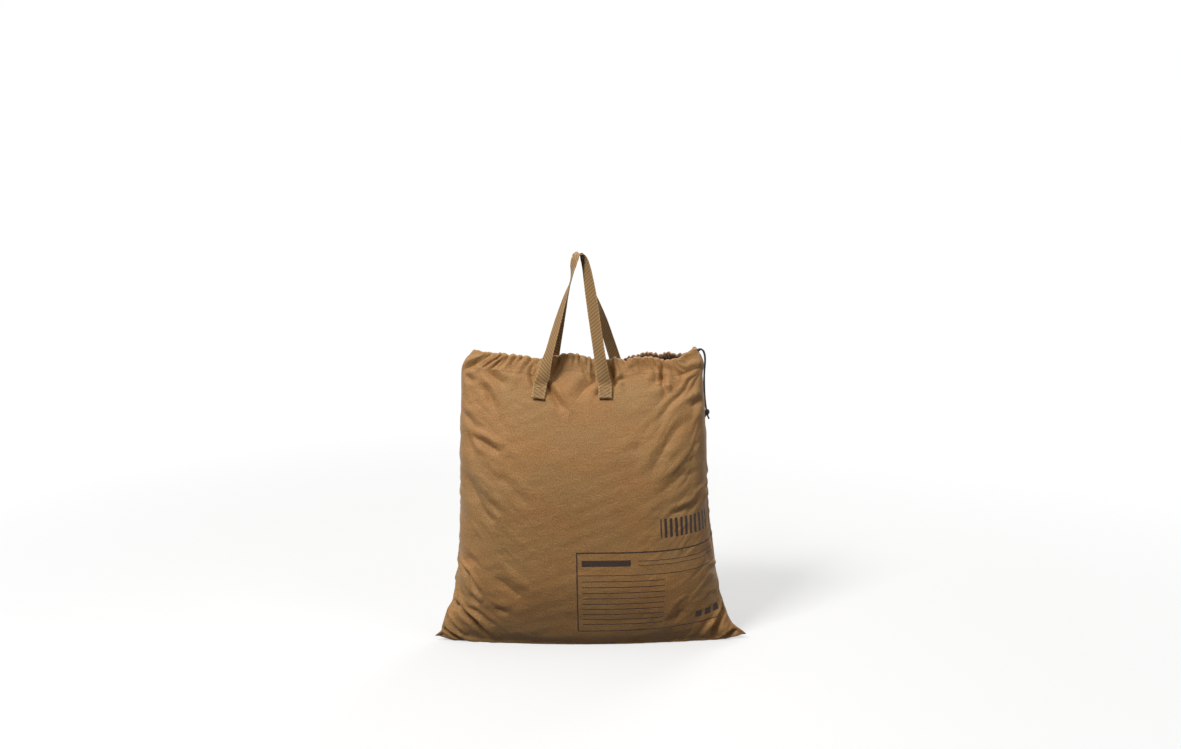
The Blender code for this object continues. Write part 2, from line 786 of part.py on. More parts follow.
def fold_outline(side, levels, inset):
    """The chamber folded in three, seen from +X as (depth, height) points."""
    floor_outer, floor_inner, top_outer, top_inner = levels
    runs = [tuple(side * value for value in run) for run in pack_runs(side)]
    outer, middle, inner = [sorted(run, reverse=True) for run in runs]
    thick = RUN_THICKNESS
    corners = [
        (outer[0] - inset, floor_outer + inset, FREE_END_RADIUS),
        (outer[0] - inset, top_outer - inset, FOLD_RADIUS),
        (middle[1] + inset, top_outer - inset, FOLD_RADIUS),
        (middle[1] + inset, floor_inner + thick - inset, 0.0),
        (inner[0] - inset, floor_inner + thick - inset, 0.0),
        (inner[0] - inset, top_inner - inset, FREE_END_RADIUS),
        (inner[1] + inset, top_inner - inset, FREE_END_RADIUS),
        (inner[1] + inset, floor_inner + inset, FOLD_RADIUS),
        (middle[0] - inset, floor_inner + inset, FOLD_RADIUS),
        (middle[0] - inset, top_outer - thick + inset, 0.0),
        (outer[1] + inset, top_outer - thick + inset, 0.0),
        (outer[1] + inset, floor_outer + inset, FREE_END_RADIUS),
    ]
    points = [(side * depth, height) for depth, height, radius in corners]
    radii = [max(radius - inset, radius / 4) for depth, height, radius in corners]
    return rounded(points, radii)


def folded_block(name, outline, half_width, material, collection):
    """The outline carried across the bag, as a closed mesh."""
    block = flat_curve(name, [outline], half_width, material, collection)
    block.matrix_world = Matrix.Translation((PACK_CENTRE, 0.0, 0.0)) @ Matrix((
        (0.0, 0.0, 1.0, 0.0),
        (1.0, 0.0, 0.0, 0.0),
        (0.0, 1.0, 0.0, 0.0),
        (0.0, 0.0, 0.0, 1.0),
    ))
    return curve_to_mesh(block, collection)


def box(name, centre, size, material, collection):
    bm = bmesh.new()
    bmesh.ops.create_cube(bm, size=1.0)
    bmesh.ops.scale(bm, vec=Vector(size), verts=bm.verts)
    item = add_object(name, mesh_from_bmesh(name, bm), material, collection)
    item.location = centre
    return item


def cylinder(name, centre, radius, height, axis, material, collection, sides=16):
    bm = bmesh.new()
    bmesh.ops.create_cone(
        bm, cap_ends=True, cap_tris=False, segments=sides, radius1=radius, radius2=radius, depth=height)
    item = add_object(name, mesh_from_bmesh(name, bm), material, collection)
    turn = Vector((0.0, 0.0, 1.0)).rotation_difference(Vector(axis)).to_matrix().to_4x4()
    item.matrix_world = Matrix.Translation(centre) @ turn
    return item


def make_chamber(word, side, samples, materials, collection, cutters):
    """Cover and bladder of one chamber, with its valve and its zip."""
    outer, middle, inner = pack_runs(side)
    fold_depths = (min(outer[0], middle[0]), max(outer[1], middle[1]))
    foot_depths = (min(inner[0], middle[0]), max(inner[1], middle[1]))
    levels = (
        lowest_rest(samples, *outer, FREE_END_RADIUS),
        lowest_rest(samples, *foot_depths, FOLD_RADIUS),
        highest_reach(samples, *fold_depths), PACK_TOP,
    )
    top_outer = levels[2]
    cover = folded_block(
        f"{word}_cover", fold_outline(side, levels, 0.0), PACK_HALF_WIDTH,
        materials["cover"], collection)
    hollow = folded_block(
        f"{word}_cover_hollow", fold_outline(side, levels, COVER_WALL),
        PACK_HALF_WIDTH - COVER_WALL, None, cutters)
    cut(cover, hollow)
    folded_block(
        f"{word}_bladder", fold_outline(side, levels, COVER_WALL + GAP),
        PACK_HALF_WIDTH - COVER_WALL - GAP, materials["bladder"], collection)
    zip_y = (inner[0] + inner[1]) / 2
    slot_height = COVER_WALL + CUT_OVERRUN
    slot = box(
        f"{word}_zip_slot", (PACK_CENTRE, zip_y, PACK_TOP - COVER_WALL + slot_height / 2 - GAP / 2),
        (ZIP_LENGTH - 2 * ZIP_SLOT_WIDTH, ZIP_SLOT_WIDTH, slot_height + GAP), None, cutters)
    cut(cover, slot)
    valve_y = sum(fold_depths) / 2
    valve_x = PACK_CENTRE + side * VALVE_OFFSET
    port = cylinder(
        f"{word}_valve_port", (valve_x, valve_y, top_outer), NECK_BORE - COVER_WALL,
        2 * (COVER_WALL + GAP / 2), (0.0, 0.0, 1.0), None, cutters, VALVE_SIDES)
    cut(cover, port)
    make_valve(word, (valve_x, valve_y, top_outer + GAP), materials, collection, cutters)
    make_zip(word, side, zip_y, PACK_TOP + GAP, materials, collection, cutters)
    print(word, "levels", [round(level, 5) for level in levels])


def make_valve(word, place, materials, collection, cutters):
    """Base, one-way insert with its flap, and screw cap, upwards from the place."""
    neck_top = FLANGE_THICKNESS + NECK_HEIGHT
    base = turned(f"{word}_valve_base", [
        (NECK_BORE, neck_top), (NECK_RADIUS, neck_top), (NECK_RADIUS, FLANGE_THICKNESS),
        (FLANGE_RADIUS - FLANGE_THICKNESS / 2, FLANGE_THICKNESS),
        (FLANGE_RADIUS, FLANGE_THICKNESS / 2), (FLANGE_RADIUS, 0.0), (NECK_BORE, 0.0),
    ], VALVE_SIDES, materials["valve"], collection)
    base.location = place
    insert_radius = NECK_BORE - GAP
    insert_foot = FLAP_THICKNESS + 2 * GAP
    lip_foot = neck_top + GAP
    insert = turned(f"{word}_valve_insert", [
        (insert_radius - INSERT_WALL, lip_foot + INSERT_LIP),
        (NECK_RADIUS - GAP, lip_foot + INSERT_LIP),
        (NECK_RADIUS - GAP, lip_foot), (insert_radius, lip_foot),
        (insert_radius, insert_foot), (insert_radius - INSERT_WALL, insert_foot),
    ], VALVE_SIDES, materials["insert"], collection)
    insert.location = place
    bar_length = 2 * insert_radius - INSERT_WALL
    for turn, axis in enumerate(((bar_length, SEAT_BAR_WIDTH), (SEAT_BAR_WIDTH, bar_length))):
        bar = box(
            f"{word}_seat_bar_{turn}",
            (place[0], place[1], place[2] + insert_foot + SEAT_BAR_HEIGHT / 2),
            (axis[0], axis[1], SEAT_BAR_HEIGHT), None, cutters)
        cut(insert, bar, "UNION")
    stem_hole = cylinder(
        f"{word}_stem_hole", (place[0], place[1], place[2] + insert_foot + SEAT_BAR_HEIGHT / 2),
        FLAP_STEM_RADIUS + GAP, SEAT_BAR_HEIGHT + CUT_OVERRUN, (0.0, 0.0, 1.0), None, cutters)
    cut(insert, stem_hole)
    stem_top = insert_foot + SEAT_BAR_HEIGHT + GAP
    flap = turned(f"{word}_valve_flap", [
        (0.0, stem_top + FLAP_HEAD_HEIGHT), (FLAP_HEAD_RADIUS, stem_top + FLAP_HEAD_HEIGHT / 2),
        (FLAP_HEAD_RADIUS, stem_top), (FLAP_STEM_RADIUS, stem_top),
        (FLAP_STEM_RADIUS, FLAP_THICKNESS + GAP), (FLAP_RADIUS, FLAP_THICKNESS + GAP),
        (FLAP_RADIUS, GAP), (0.0, GAP),
    ], VALVE_SIDES // 2, materials["flap"], collection)
    flap.location = place
    skirt_foot = FLANGE_THICKNESS + GAP
    roof = lip_foot + INSERT_LIP + GAP
    cap = turned(f"{word}_valve_cap", [
        (0.0, roof + CAP_WALL), (CAP_RADIUS - CAP_WALL / 2, roof + CAP_WALL),
        (CAP_RADIUS, roof + CAP_WALL / 2), (CAP_RADIUS, skirt_foot),
        (NECK_RADIUS + GAP, skirt_foot), (NECK_RADIUS + GAP, roof), (0.0, roof),
    ], VALVE_SIDES, materials["valve"], collection)
    cap.location = place
    for index in range(CAP_RIBS):
        turn = 2 * math.pi * (index + 0.5) / CAP_RIBS
        rib = cylinder(
            f"{word}_cap_groove_{index}",
            (place[0] + CAP_RADIUS * math.cos(turn), place[1] + CAP_RADIUS * math.sin(turn),
             place[2] + (roof + skirt_foot) / 2),
            CAP_RIB_RADIUS, roof, (0.0, 0.0, 1.0), None, cutters, 6)
        cut(cap, rib)
    print(word, "valve axis at", [round(value, 5) for value in place])


def make_zip(word, side, zip_y, foot, materials, collection, cutters):
    """Tape with its chain, slider and pull, lying along X on a cover's free end."""
    half_tape = ZIP_TAPE_WIDTH / 2
    half_chain = ZIP_CHAIN_WIDTH / 2
    chain_top = ZIP_TAPE_THICKNESS + ZIP_CHAIN_HEIGHT
    profile = [
        (zip_y - half_tape, foot), (zip_y + half_tape, foot),
        (zip_y + half_tape, foot + ZIP_TAPE_THICKNESS), (zip_y + half_chain, foot + ZIP_TAPE_THICKNESS),
        (zip_y + half_chain, foot + chain_top), (zip_y - half_chain, foot + chain_top),
        (zip_y - half_chain, foot + ZIP_TAPE_THICKNESS), (zip_y - half_tape, foot + ZIP_TAPE_THICKNESS),
    ]
    folded_block(f"{word}_zip_tape", profile, ZIP_LENGTH / 2, materials["tape"], collection)
    slider_x = PACK_CENTRE - side * (ZIP_LENGTH / 2 - SLIDER_LENGTH / 2 - SLIDER_END_MARGIN)
    slider_foot = foot + chain_top + GAP
    slider = box(
        f"{word}_zip_slider", (slider_x, zip_y, slider_foot + SLIDER_HEIGHT / 2),
        (SLIDER_LENGTH, SLIDER_WIDTH, SLIDER_HEIGHT), materials["metal"], collection)
    pin_z = slider_foot + SLIDER_HEIGHT + PIN_HEIGHT
    lug_y = SLIDER_WIDTH / 2 - LUG_THICKNESS / 2
    lug_height = PIN_HEIGHT + PIN_RADIUS * 2 + SLIDER_HEIGHT / 2
    for word_side in (-1, 1):
        lug = box(
            f"{word}_slider_lug_{word_side}",
            (slider_x, zip_y + word_side * lug_y, slider_foot + SLIDER_HEIGHT / 2 + lug_height / 2),
            (LUG_LENGTH, LUG_THICKNESS, lug_height), None, cutters)
        cut(slider, lug, "UNION")
    pin = cylinder(
        f"{word}_slider_pin", (slider_x, zip_y, pin_z), PIN_RADIUS,
        SLIDER_WIDTH - LUG_THICKNESS, (0.0, 1.0, 0.0), None, cutters, 12)
    cut(slider, pin, "UNION")
    reach = side * PULL_LENGTH
    pull = box(
        f"{word}_zip_pull", (slider_x, zip_y, pin_z),
        (PULL_LENGTH, PULL_WIDTH - 2 * GAP, PULL_THICKNESS), materials["metal"], collection)
    pull.data.transform(Matrix.Translation((reach / 2, 0.0, 0.0)))
    bevel = pull.modifiers.new("round_end", "BEVEL")
    bevel.width = PULL_CORNER / 4
    bevel.segments = 1
    knuckle = cylinder(
        f"{word}_pull_knuckle", (slider_x, zip_y, pin_z), KNUCKLE_RADIUS,
        PULL_WIDTH - 2 * GAP, (0.0, 1.0, 0.0), None, cutters, 16)
    cut(pull, knuckle, "UNION")
    bore = cylinder(
        f"{word}_pull_bore", (slider_x, zip_y, pin_z), KNUCKLE_BORE,
        PULL_WIDTH + CUT_OVERRUN, (0.0, 1.0, 0.0), None, cutters, 16)
    cut(pull, bore)
    print(word, "zip slider at", slider_x, zip_y, slider_foot, "pin height", pin_z)


def make_materials():
    return {
        "bag": make_material("coated_oxford_cloth", (0.319, 0.189, 0.078), 0.72),
        "webbing": make_material("woven_webbing", (0.283, 0.159, 0.078), 0.85),
        "thread": make_material("polyester_thread", (0.342, 0.209, 0.095), 0.6),
        "cord": make_material("braided_cord", (0.010, 0.011, 0.022), 0.7),
        "cover": make_material("oxford_sofa_cover", (0.300, 0.178, 0.075), 0.75),
        "bladder": make_material("bladder_film", (0.55, 0.58, 0.60), 0.35),
        "valve": make_material("moulded_valve_plastic", (0.020, 0.020, 0.022), 0.45),
        "insert": make_material("valve_insert_plastic", (0.62, 0.62, 0.60), 0.4),
        "flap": make_material("silicone_flap", (0.50, 0.48, 0.44), 0.5),
        "tape": make_material("zip_tape", (0.060, 0.040, 0.022), 0.8),
        "metal": make_material("zip_metal", (0.30, 0.28, 0.25), 0.35, 1.0),
    }


def main():
    clear_scene()
    collection = make_collection(COLLECTION_NAME)
    cutters = make_collection(CUTTER_COLLECTION_NAME)
    materials = make_materials()
    make_bag_panels(materials["bag"], collection)
    make_handle(
        "front", FRONT, FRONT_HANDLE_shares, FRONT_TABS, FRONT_TAB_LEAN_DEG, materials, collection)
    make_handle(
        "back", BACK, BACK_HANDLE_shares, BACK_TABS, BACK_TAB_LEAN_DEG, materials, collection)
    make_drawcord(materials["cord"], collection)
    samples = {side: panel_samples(side) for side in (FRONT, BACK)}
    make_chamber("seat", FRONT, samples, materials, collection, cutters)
    make_chamber("backrest", BACK, samples, materials, collection, cutters)
    cutters.hide_render = True


main()
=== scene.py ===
"""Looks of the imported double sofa: a drawstring bag of coated Oxford cloth that
stands full, its webbing handles and cord, and the folded sofa inside it.

Metres, +Z up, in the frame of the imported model: the bag's front faces -Y.
"""

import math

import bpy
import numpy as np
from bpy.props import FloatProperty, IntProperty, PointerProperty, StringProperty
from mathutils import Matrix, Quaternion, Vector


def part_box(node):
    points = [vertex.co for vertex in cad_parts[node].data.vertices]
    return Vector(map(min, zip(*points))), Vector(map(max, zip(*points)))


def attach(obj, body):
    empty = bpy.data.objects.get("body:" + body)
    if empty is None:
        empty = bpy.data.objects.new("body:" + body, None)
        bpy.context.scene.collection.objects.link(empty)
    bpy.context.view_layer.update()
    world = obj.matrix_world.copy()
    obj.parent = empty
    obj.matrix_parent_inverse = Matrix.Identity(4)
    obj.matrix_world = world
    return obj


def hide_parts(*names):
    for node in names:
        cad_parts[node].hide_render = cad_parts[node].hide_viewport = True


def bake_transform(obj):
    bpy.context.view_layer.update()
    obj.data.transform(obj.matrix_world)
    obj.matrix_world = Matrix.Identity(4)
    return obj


bl_info = {
    "name": "Packed double sofa",
    "version": (1, 0, 0),
    "blender": (4, 5, 0),
    "location": "3D View > Sidebar > Packed sofa",
    "description": "Makes the bag, its cord and handles and the folded sofa round the packed model",
    "category": "Object",
}

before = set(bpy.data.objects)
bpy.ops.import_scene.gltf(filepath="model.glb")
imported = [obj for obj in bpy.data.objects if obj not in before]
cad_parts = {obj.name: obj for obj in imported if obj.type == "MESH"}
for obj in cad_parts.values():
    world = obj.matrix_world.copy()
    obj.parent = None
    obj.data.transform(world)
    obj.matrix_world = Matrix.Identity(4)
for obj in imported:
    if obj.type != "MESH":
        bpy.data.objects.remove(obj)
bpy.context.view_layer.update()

MM = 0.001
FRONT = -1
BACK = 1

# The bag's driving sizes and tables, as in the model's source
SEAM_SPAN = 0.694
BAG_DEPTH = 0.2238
MOUTH_HEIGHT = 0.650
PANEL_LENGTH = 0.710
CASING_DROP = 0.040
CASING_WIDTH = 0.0084
CASING_CROWN = 0.0026
CORD_DEPTH_IN_CASING = 0.0060
SIDE_SEAM_shares = (
    (0.00, 1.000, 1.000, -0.335, 0.000), (0.03, 0.972, 0.968, -0.350, 0.024),
    (0.06, 0.948, 0.925, -0.320, 0.050), (0.10, 0.920, 0.872, -0.270, 0.088),
    (0.14, 0.894, 0.842, -0.215, 0.128), (0.20, 0.868, 0.822, -0.145, 0.190),
    (0.27, 0.845, 0.808, -0.090, 0.262), (0.35, 0.830, 0.786, -0.045, 0.346),
    (0.50, 0.816, 0.758, 0.000, 0.500), (0.65, 0.812, 0.749, 0.020, 0.652),
    (0.80, 0.801, 0.743, 0.070, 0.800), (0.90, 0.795, 0.729, 0.107, 0.900),
    (0.94, 0.792, 0.735, 0.135, 0.940), (0.97, 0.772, 0.723, 0.165, 0.970),
    (1.00, 0.722, 0.690, 0.200, 1.000),
)
FRONT_LINE_shares = (
    (0.00, -0.335, -0.020), (0.03, -0.520, -0.012), (0.06, -0.700, 0.012),
    (0.10, -0.860, 0.046), (0.14, -0.945, 0.086), (0.20, -0.995, 0.151), (0.27, -1.000, 0.228),
    (0.35, -1.000, 0.315), (0.50, -0.980, 0.478), (0.65, -0.870, 0.642), (0.80, -0.605, 0.798),
    (0.90, -0.365, 0.900), (1.00, -0.112, 0.998),
)
BACK_LINE_shares = (
    (0.00, -0.335, -0.020), (0.04, -0.090, -0.034), (0.08, 0.160, -0.034),
    (0.12, 0.410, -0.020), (0.16, 0.650, 0.014), (0.20, 0.820, 0.049), (0.25, 0.945, 0.102),
    (0.30, 0.992, 0.157), (0.40, 1.000, 0.269), (0.50, 1.000, 0.382), (0.65, 0.980, 0.549),
    (0.80, 0.875, 0.715), (0.90, 0.730, 0.822), (1.00, 0.510, 0.925),
)
SQUARENESS_shares = (
    (0.0, 1.35), (0.06, 1.7), (0.12, 2.2), (0.22, 2.8), (0.35, 3.1), (1.0, 3.0),
)
SECTION_POINTS = 361
FLOOR_CLEARANCE = 0.0005
SIDES_MEET_START_share = 0.86
SIDES_MEET_REACH_share = 0.06

# How much the gathered mouth rises or dips along its edge: place across the cloth
# from the middle, and rise, both in metres
FRONT_HEM_RISE = (
    (-0.347, -0.004), (-0.318, -0.001), (-0.285, -0.005), (-0.250, -0.007), (-0.215, -0.010),
    (-0.185, -0.012), (-0.160, -0.015), (-0.136, -0.0195), (-0.098, -0.0165), (-0.050, -0.0085),
    (-0.032, -0.009), (0.015, -0.019), (0.058, -0.0225), (0.092, -0.019), (0.112, -0.0245),
    (0.141, -0.0195), (0.181, -0.0185), (0.210, -0.022), (0.238, -0.0265), (0.272, -0.0215),
    (0.300, -0.011), (0.325, -0.003), (0.347, -0.002),
)
BACK_HEM_RISE = (
    (-0.347, -0.004), (-0.322, -0.001), (-0.298, 0.012), (-0.270, 0.019), (-0.240, 0.013),
    (-0.180, 0.006), (-0.100, 0.004), (0.000, 0.004), (0.070, 0.007), (0.125, 0.018),
    (0.150, 0.022), (0.185, 0.025), (0.210, 0.021), (0.235, 0.021), (0.262, 0.015),
    (0.290, 0.009), (0.320, 0.003), (0.347, -0.002),
)
HEM_RISE_START_share = 0.80

# How far the front turns under beyond the model's, between two shares of its length
BELLY_TUCK = 0.0145
BELLY_TUCK_shares = (0.02, 0.29)
BELLY_TUCK_LEAN = 0.8

# Creases and folds of the front: route on the flat cloth, across from its middle
# and up from its foot, then half width and height. A negative height is a valley
FRONT_FOLDS = (
    # Upper left corner: a deep tuck under the smooth corner, then slanting tucks
    (((-0.272, 0.706), (-0.300, 0.682), (-0.330, 0.664)), 0.009, -0.0060),
    (((-0.262, 0.702), (-0.285, 0.678)), 0.0045, -0.0035),
    (((-0.246, 0.703), (-0.276, 0.676)), 0.0045, -0.0045),
    (((-0.230, 0.702), (-0.248, 0.676)), 0.0045, -0.0045),
    (((-0.216, 0.700), (-0.234, 0.680)), 0.0055, -0.0025),
    (((-0.203, 0.698), (-0.188, 0.665)), 0.010, -0.0030),
    (((-0.268, 0.682), (-0.246, 0.663), (-0.208, 0.642)), 0.010, -0.0055),
    (((-0.318, 0.657), (-0.291, 0.641)), 0.009, -0.0045),
    (((-0.272, 0.641), (-0.249, 0.622), (-0.225, 0.585)), 0.010, -0.0052),
    (((-0.205, 0.684), (-0.174, 0.645)), 0.011, 0.0035),
    # Left side
    (((-0.262, 0.640), (-0.230, 0.600), (-0.192, 0.535)), 0.009, -0.0022),
    (((-0.320, 0.570), (-0.290, 0.558), (-0.255, 0.532)), 0.010, -0.0045),
    (((-0.272, 0.520), (-0.240, 0.506), (-0.196, 0.486)), 0.009, -0.0065),
    (((-0.285, 0.520), (-0.258, 0.470)), 0.014, -0.0045),
    (((-0.285, 0.430), (-0.255, 0.395), (-0.222, 0.355)), 0.018, -0.0060),
    (((-0.218, 0.385), (-0.190, 0.350)), 0.010, -0.0030),
    (((-0.235, 0.360), (-0.200, 0.332)), 0.009, -0.0030),
    (((-0.195, 0.437), (-0.165, 0.412)), 0.011, -0.0022),
    (((-0.160, 0.408), (-0.130, 0.376)), 0.011, -0.0022),
    (((-0.275, 0.246), (-0.250, 0.230)), 0.010, -0.0030),
    (((-0.205, 0.212), (-0.150, 0.168)), 0.016, -0.0045),
    (((-0.208, 0.136), (-0.176, 0.126)), 0.010, -0.0032),
    # Lower left ear
    (((-0.318, 0.218), (-0.275, 0.203), (-0.248, 0.166)), 0.0080, -0.0085),
    (((-0.330, 0.155), (-0.310, 0.140), (-0.292, 0.115)), 0.0070, -0.0080),
    (((-0.338, 0.112), (-0.300, 0.116), (-0.262, 0.090), (-0.232, 0.046)), 0.0088, -0.0118),
    (((-0.296, 0.128), (-0.253, 0.119), (-0.212, 0.086)), 0.0070, -0.0022),
    (((-0.345, 0.088), (-0.325, 0.068), (-0.303, 0.045)), 0.0065, -0.0080),
    (((-0.347, 0.045), (-0.330, 0.031), (-0.272, 0.010)), 0.0065, -0.0065),
    (((-0.270, 0.160), (-0.248, 0.136)), 0.0080, -0.0040),
    # Beside the left sewn end
    (((-0.147, 0.700), (-0.142, 0.672), (-0.130, 0.638)), 0.0075, -0.0060),
    (((-0.133, 0.695), (-0.134, 0.668)), 0.0050, -0.0040),
    (((-0.108, 0.650), (-0.090, 0.628), (-0.056, 0.578)), 0.0098, -0.0088),
    (((-0.090, 0.658), (-0.064, 0.630), (-0.040, 0.592)), 0.0070, -0.0026),
    (((-0.070, 0.640), (-0.045, 0.600)), 0.012, 0.0012),
    # Between the sewn ends
    (((0.030, 0.660), (-0.005, 0.632), (-0.026, 0.602)), 0.015, -0.0036),
    (((0.044, 0.634), (0.022, 0.612)), 0.010, -0.0040),
    (((-0.080, 0.705), (-0.084, 0.685), (-0.096, 0.660)), 0.0050, -0.0035),
    (((-0.022, 0.704), (-0.008, 0.684), (0.004, 0.660)), 0.0055, -0.0040),
    (((0.018, 0.704), (0.024, 0.680), (0.028, 0.650)), 0.0085, -0.0055),
    # Beside the right sewn end
    (((0.066, 0.702), (0.072, 0.672), (0.076, 0.640)), 0.0095, -0.0065),
    (((0.068, 0.640), (0.086, 0.656), (0.105, 0.664)), 0.0065, -0.0035),
    # Upper right
    (((0.219, 0.700), (0.211, 0.670), (0.209, 0.645), (0.214, 0.622)), 0.0070, -0.0062),
    (((0.205, 0.672), (0.193, 0.644)), 0.014, -0.0050),
    (((0.232, 0.690), (0.230, 0.650)), 0.010, 0.0035),
    (((0.198, 0.700), (0.206, 0.682), (0.214, 0.666)), 0.0050, -0.0035),
    (((0.246, 0.700), (0.255, 0.684), (0.266, 0.666)), 0.0050, -0.0045),
    (((0.236, 0.700), (0.243, 0.684), (0.249, 0.670)), 0.0045, -0.0035),
    (((0.262, 0.698), (0.276, 0.680)), 0.0045, -0.0030),
    (((0.257, 0.676), (0.300, 0.672), (0.335, 0.668)), 0.0080, -0.0035),
    (((0.332, 0.668), (0.285, 0.648), (0.268, 0.626), (0.220, 0.592), (0.180, 0.555)),
     0.0080, -0.0034),
    (((0.330, 0.662), (0.290, 0.630), (0.262, 0.604)), 0.0075, -0.0024),
    (((0.256, 0.634), (0.217, 0.612), (0.176, 0.588)), 0.015, -0.0030),
    (((0.318, 0.592), (0.290, 0.588), (0.265, 0.578)), 0.012, -0.0045),
    (((0.300, 0.568), (0.268, 0.545)), 0.012, 0.0035),
    # Right side
    (((0.255, 0.550), (0.220, 0.530), (0.196, 0.504), (0.148, 0.440)), 0.013, -0.0028),
    (((0.242, 0.525), (0.203, 0.483), (0.160, 0.422)), 0.015, 0.0014),
    (((0.268, 0.434), (0.221, 0.430), (0.170, 0.398)), 0.014, -0.0026),
    (((0.262, 0.468), (0.224, 0.450)), 0.011, -0.0020),
    (((0.330, 0.402), (0.309, 0.386), (0.268, 0.376), (0.226, 0.340)), 0.0080, -0.0040),
    (((0.318, 0.378), (0.300, 0.360)), 0.012, 0.0040),
    (((0.245, 0.364), (0.190, 0.348)), 0.0080, -0.0035),
    (((0.126, 0.508), (0.110, 0.480)), 0.018, -0.0014),
    (((0.272, 0.262), (0.300, 0.218)), 0.012, -0.0025),
    (((0.345, 0.262), (0.322, 0.250)), 0.0080, -0.0040),
    (((0.345, 0.196), (0.320, 0.192), (0.288, 0.204)), 0.0070, -0.0055),
    (((0.342, 0.148), (0.315, 0.138), (0.284, 0.140)), 0.0075, -0.0060),
    # Lower right ear
    (((0.345, 0.098), (0.325, 0.082), (0.300, 0.055), (0.272, 0.022)), 0.0080, -0.0085),
    (((0.345, 0.028), (0.320, 0.018), (0.292, 0.006)), 0.0065, -0.0060),
    (((0.215, 0.128), (0.198, 0.096)), 0.014, -0.0030),
    (((0.338, 0.060), (0.305, 0.022)), 0.0080, 0.0035),
)
BACK_FOLDS = (
    (((-0.270, 0.704), (-0.300, 0.680), (-0.332, 0.662)), 0.009, -0.0055),
    (((0.270, 0.704), (0.300, 0.680), (0.332, 0.662)), 0.009, -0.0055),
    (((-0.240, 0.700), (-0.262, 0.670)), 0.005, -0.0040),
    (((0.236, 0.700), (0.258, 0.670)), 0.005, -0.0040),
    (((-0.152, 0.690), (-0.148, 0.640), (-0.160, 0.590)), 0.009, -0.0050),
    (((-0.095, 0.640), (-0.070, 0.590), (-0.050, 0.540)), 0.010, -0.0055),
    (((0.092, 0.640), (0.062, 0.590), (0.030, 0.550)), 0.011, -0.0055),
    (((0.150, 0.690), (0.152, 0.640), (0.175, 0.585)), 0.009, -0.0050),
    (((-0.325, 0.600), (-0.270, 0.560), (-0.210, 0.500)), 0.013, -0.0045),
    (((0.325, 0.590), (0.260, 0.540), (0.215, 0.470)), 0.013, -0.0045),
    (((-0.320, 0.430), (-0.260, 0.400), (-0.215, 0.350)), 0.014, -0.0045),
    (((0.320, 0.400), (0.270, 0.380), (0.215, 0.320)), 0.014, -0.0045),
    (((-0.330, 0.220), (-0.280, 0.210), (-0.240, 0.160)), 0.009, -0.0055),
    (((0.330, 0.215), (0.280, 0.200), (0.235, 0.150)), 0.009, -0.0055),
    (((-0.335, 0.120), (-0.290, 0.118), (-0.240, 0.070)), 0.008, -0.0060),
    (((0.335, 0.125), (0.290, 0.118), (0.245, 0.070)), 0.008, -0.0060),
    (((-0.100, 0.470), (-0.060, 0.400)), 0.018, -0.0035),
    (((0.110, 0.440), (0.080, 0.370)), 0.018, -0.0035),
)
FOLD_DEPTH_share = 1.45
HIGH_LIP_share = 0.60
LOW_LIP_share = 0.22
# Profile of the folds, in half widths: where a valley's lips stand and how wide they
# are, and how steeply valleys, ridges and their ends run out
LIP_PLACE = 1.7
LIP_WIDTH = 0.9
VALLEY_FALL = 1.2
VALLEY_POWER = 1.15
RIDGE_POWER = 1.5
FOLD_END_share = 0.03
FOLD_END_POWER = 0.75

# Fine creases: the heading of the waves across them and its spread, their pitch, how
# sharp they are, how they break up, how far from the middle they start, and their top
DRAG_HEADING = math.radians(125)
DRAG_SPREAD = math.radians(26)
DRAG_PITCH = (0.026, 0.060)
DRAG_SHARPNESS = 0.20
DRAG_BREAK_PITCH = (0.06, 0.15)
DRAG_BREAK_LEVEL = 0.55
DRAG_START = 0.06
DRAG_REACH = 0.16
CREASES_TOP = 0.655
CREASES_FADE = 0.05

# Small gathers under the mouth
FRONT_PLEAT_PITCH = (0.011, 0.025)
BACK_PLEAT_PITCH = (0.009, 0.018)
PLEAT_REACH = (0.026, 0.060)
PLEAT_STRENGTH_shares = (0.45, 1.0)
PLEAT_FAN_share = 0.9
PLEAT_ROUNDNESS = 0.8
SMOOTH_CORNER_START = 0.272
SMOOTH_CORNER_END = 0.296
MOUTH_EDGE_RIPPLE = 0.0022
MOUTH_RIPPLE_PITCH = (0.020, 0.050)
MOUTH_RIPPLE_START = 0.69
MOUTH_RIPPLE_REACH = 0.02
RIPPLE_FROM_GATHERS = 1.5
RIPPLE_FROM_CHANCE = 0.6

# The casing: steps of the turn over the cord, then depths below the mouth inside the
# bag, how far the cloth stands off there, and how it crumples
CROWN_ANGLES_DEG = (30, 60, 90, 120, 150)
CROWN_SPREAD_share = 0.6
INNER_LEG_DROPS = (0.002, 0.008, 0.014, 0.020, 0.026, 0.032, 0.036, 0.040)
INNER_LEG_GAP = 0.0013
INNER_LEG_CLOSING = (0.006, 0.030)
CASING_CRUMPLE = 0.0034
CASING_CRUMPLE_PITCH = (0.007, 0.018)

# Puckers along the side seams
PUCKER_PITCH = 0.021
PUCKER_HEIGHT = 0.0022
PUCKER_REACH = 0.017
PUCKER_STEP_share = 0.55
SEAM_WANDER = 0.0012
EAR_WANDER = 0.0052
EAR_HEIGHT = 0.180
SEAM_ALLOWANCE = 0.009
SEAM_GROOVE = 0.0011
SEAM_HALF_GAP = 0.0004
EAR_CURL = 0.0105
EAR_CURL_REACH = 0.058

# Where each kind of chance starts, so that every run gives the same bag
START_SEED = 7
GATHER_SEED = 11
SWELL_SEED = 21
WANDER_SEED = 31
CREASE_SEED = 41
PUCKER_SEED = 57
CASING_SEED = 71
RIPPLE_SEED = 83
COVER_SEED = 5

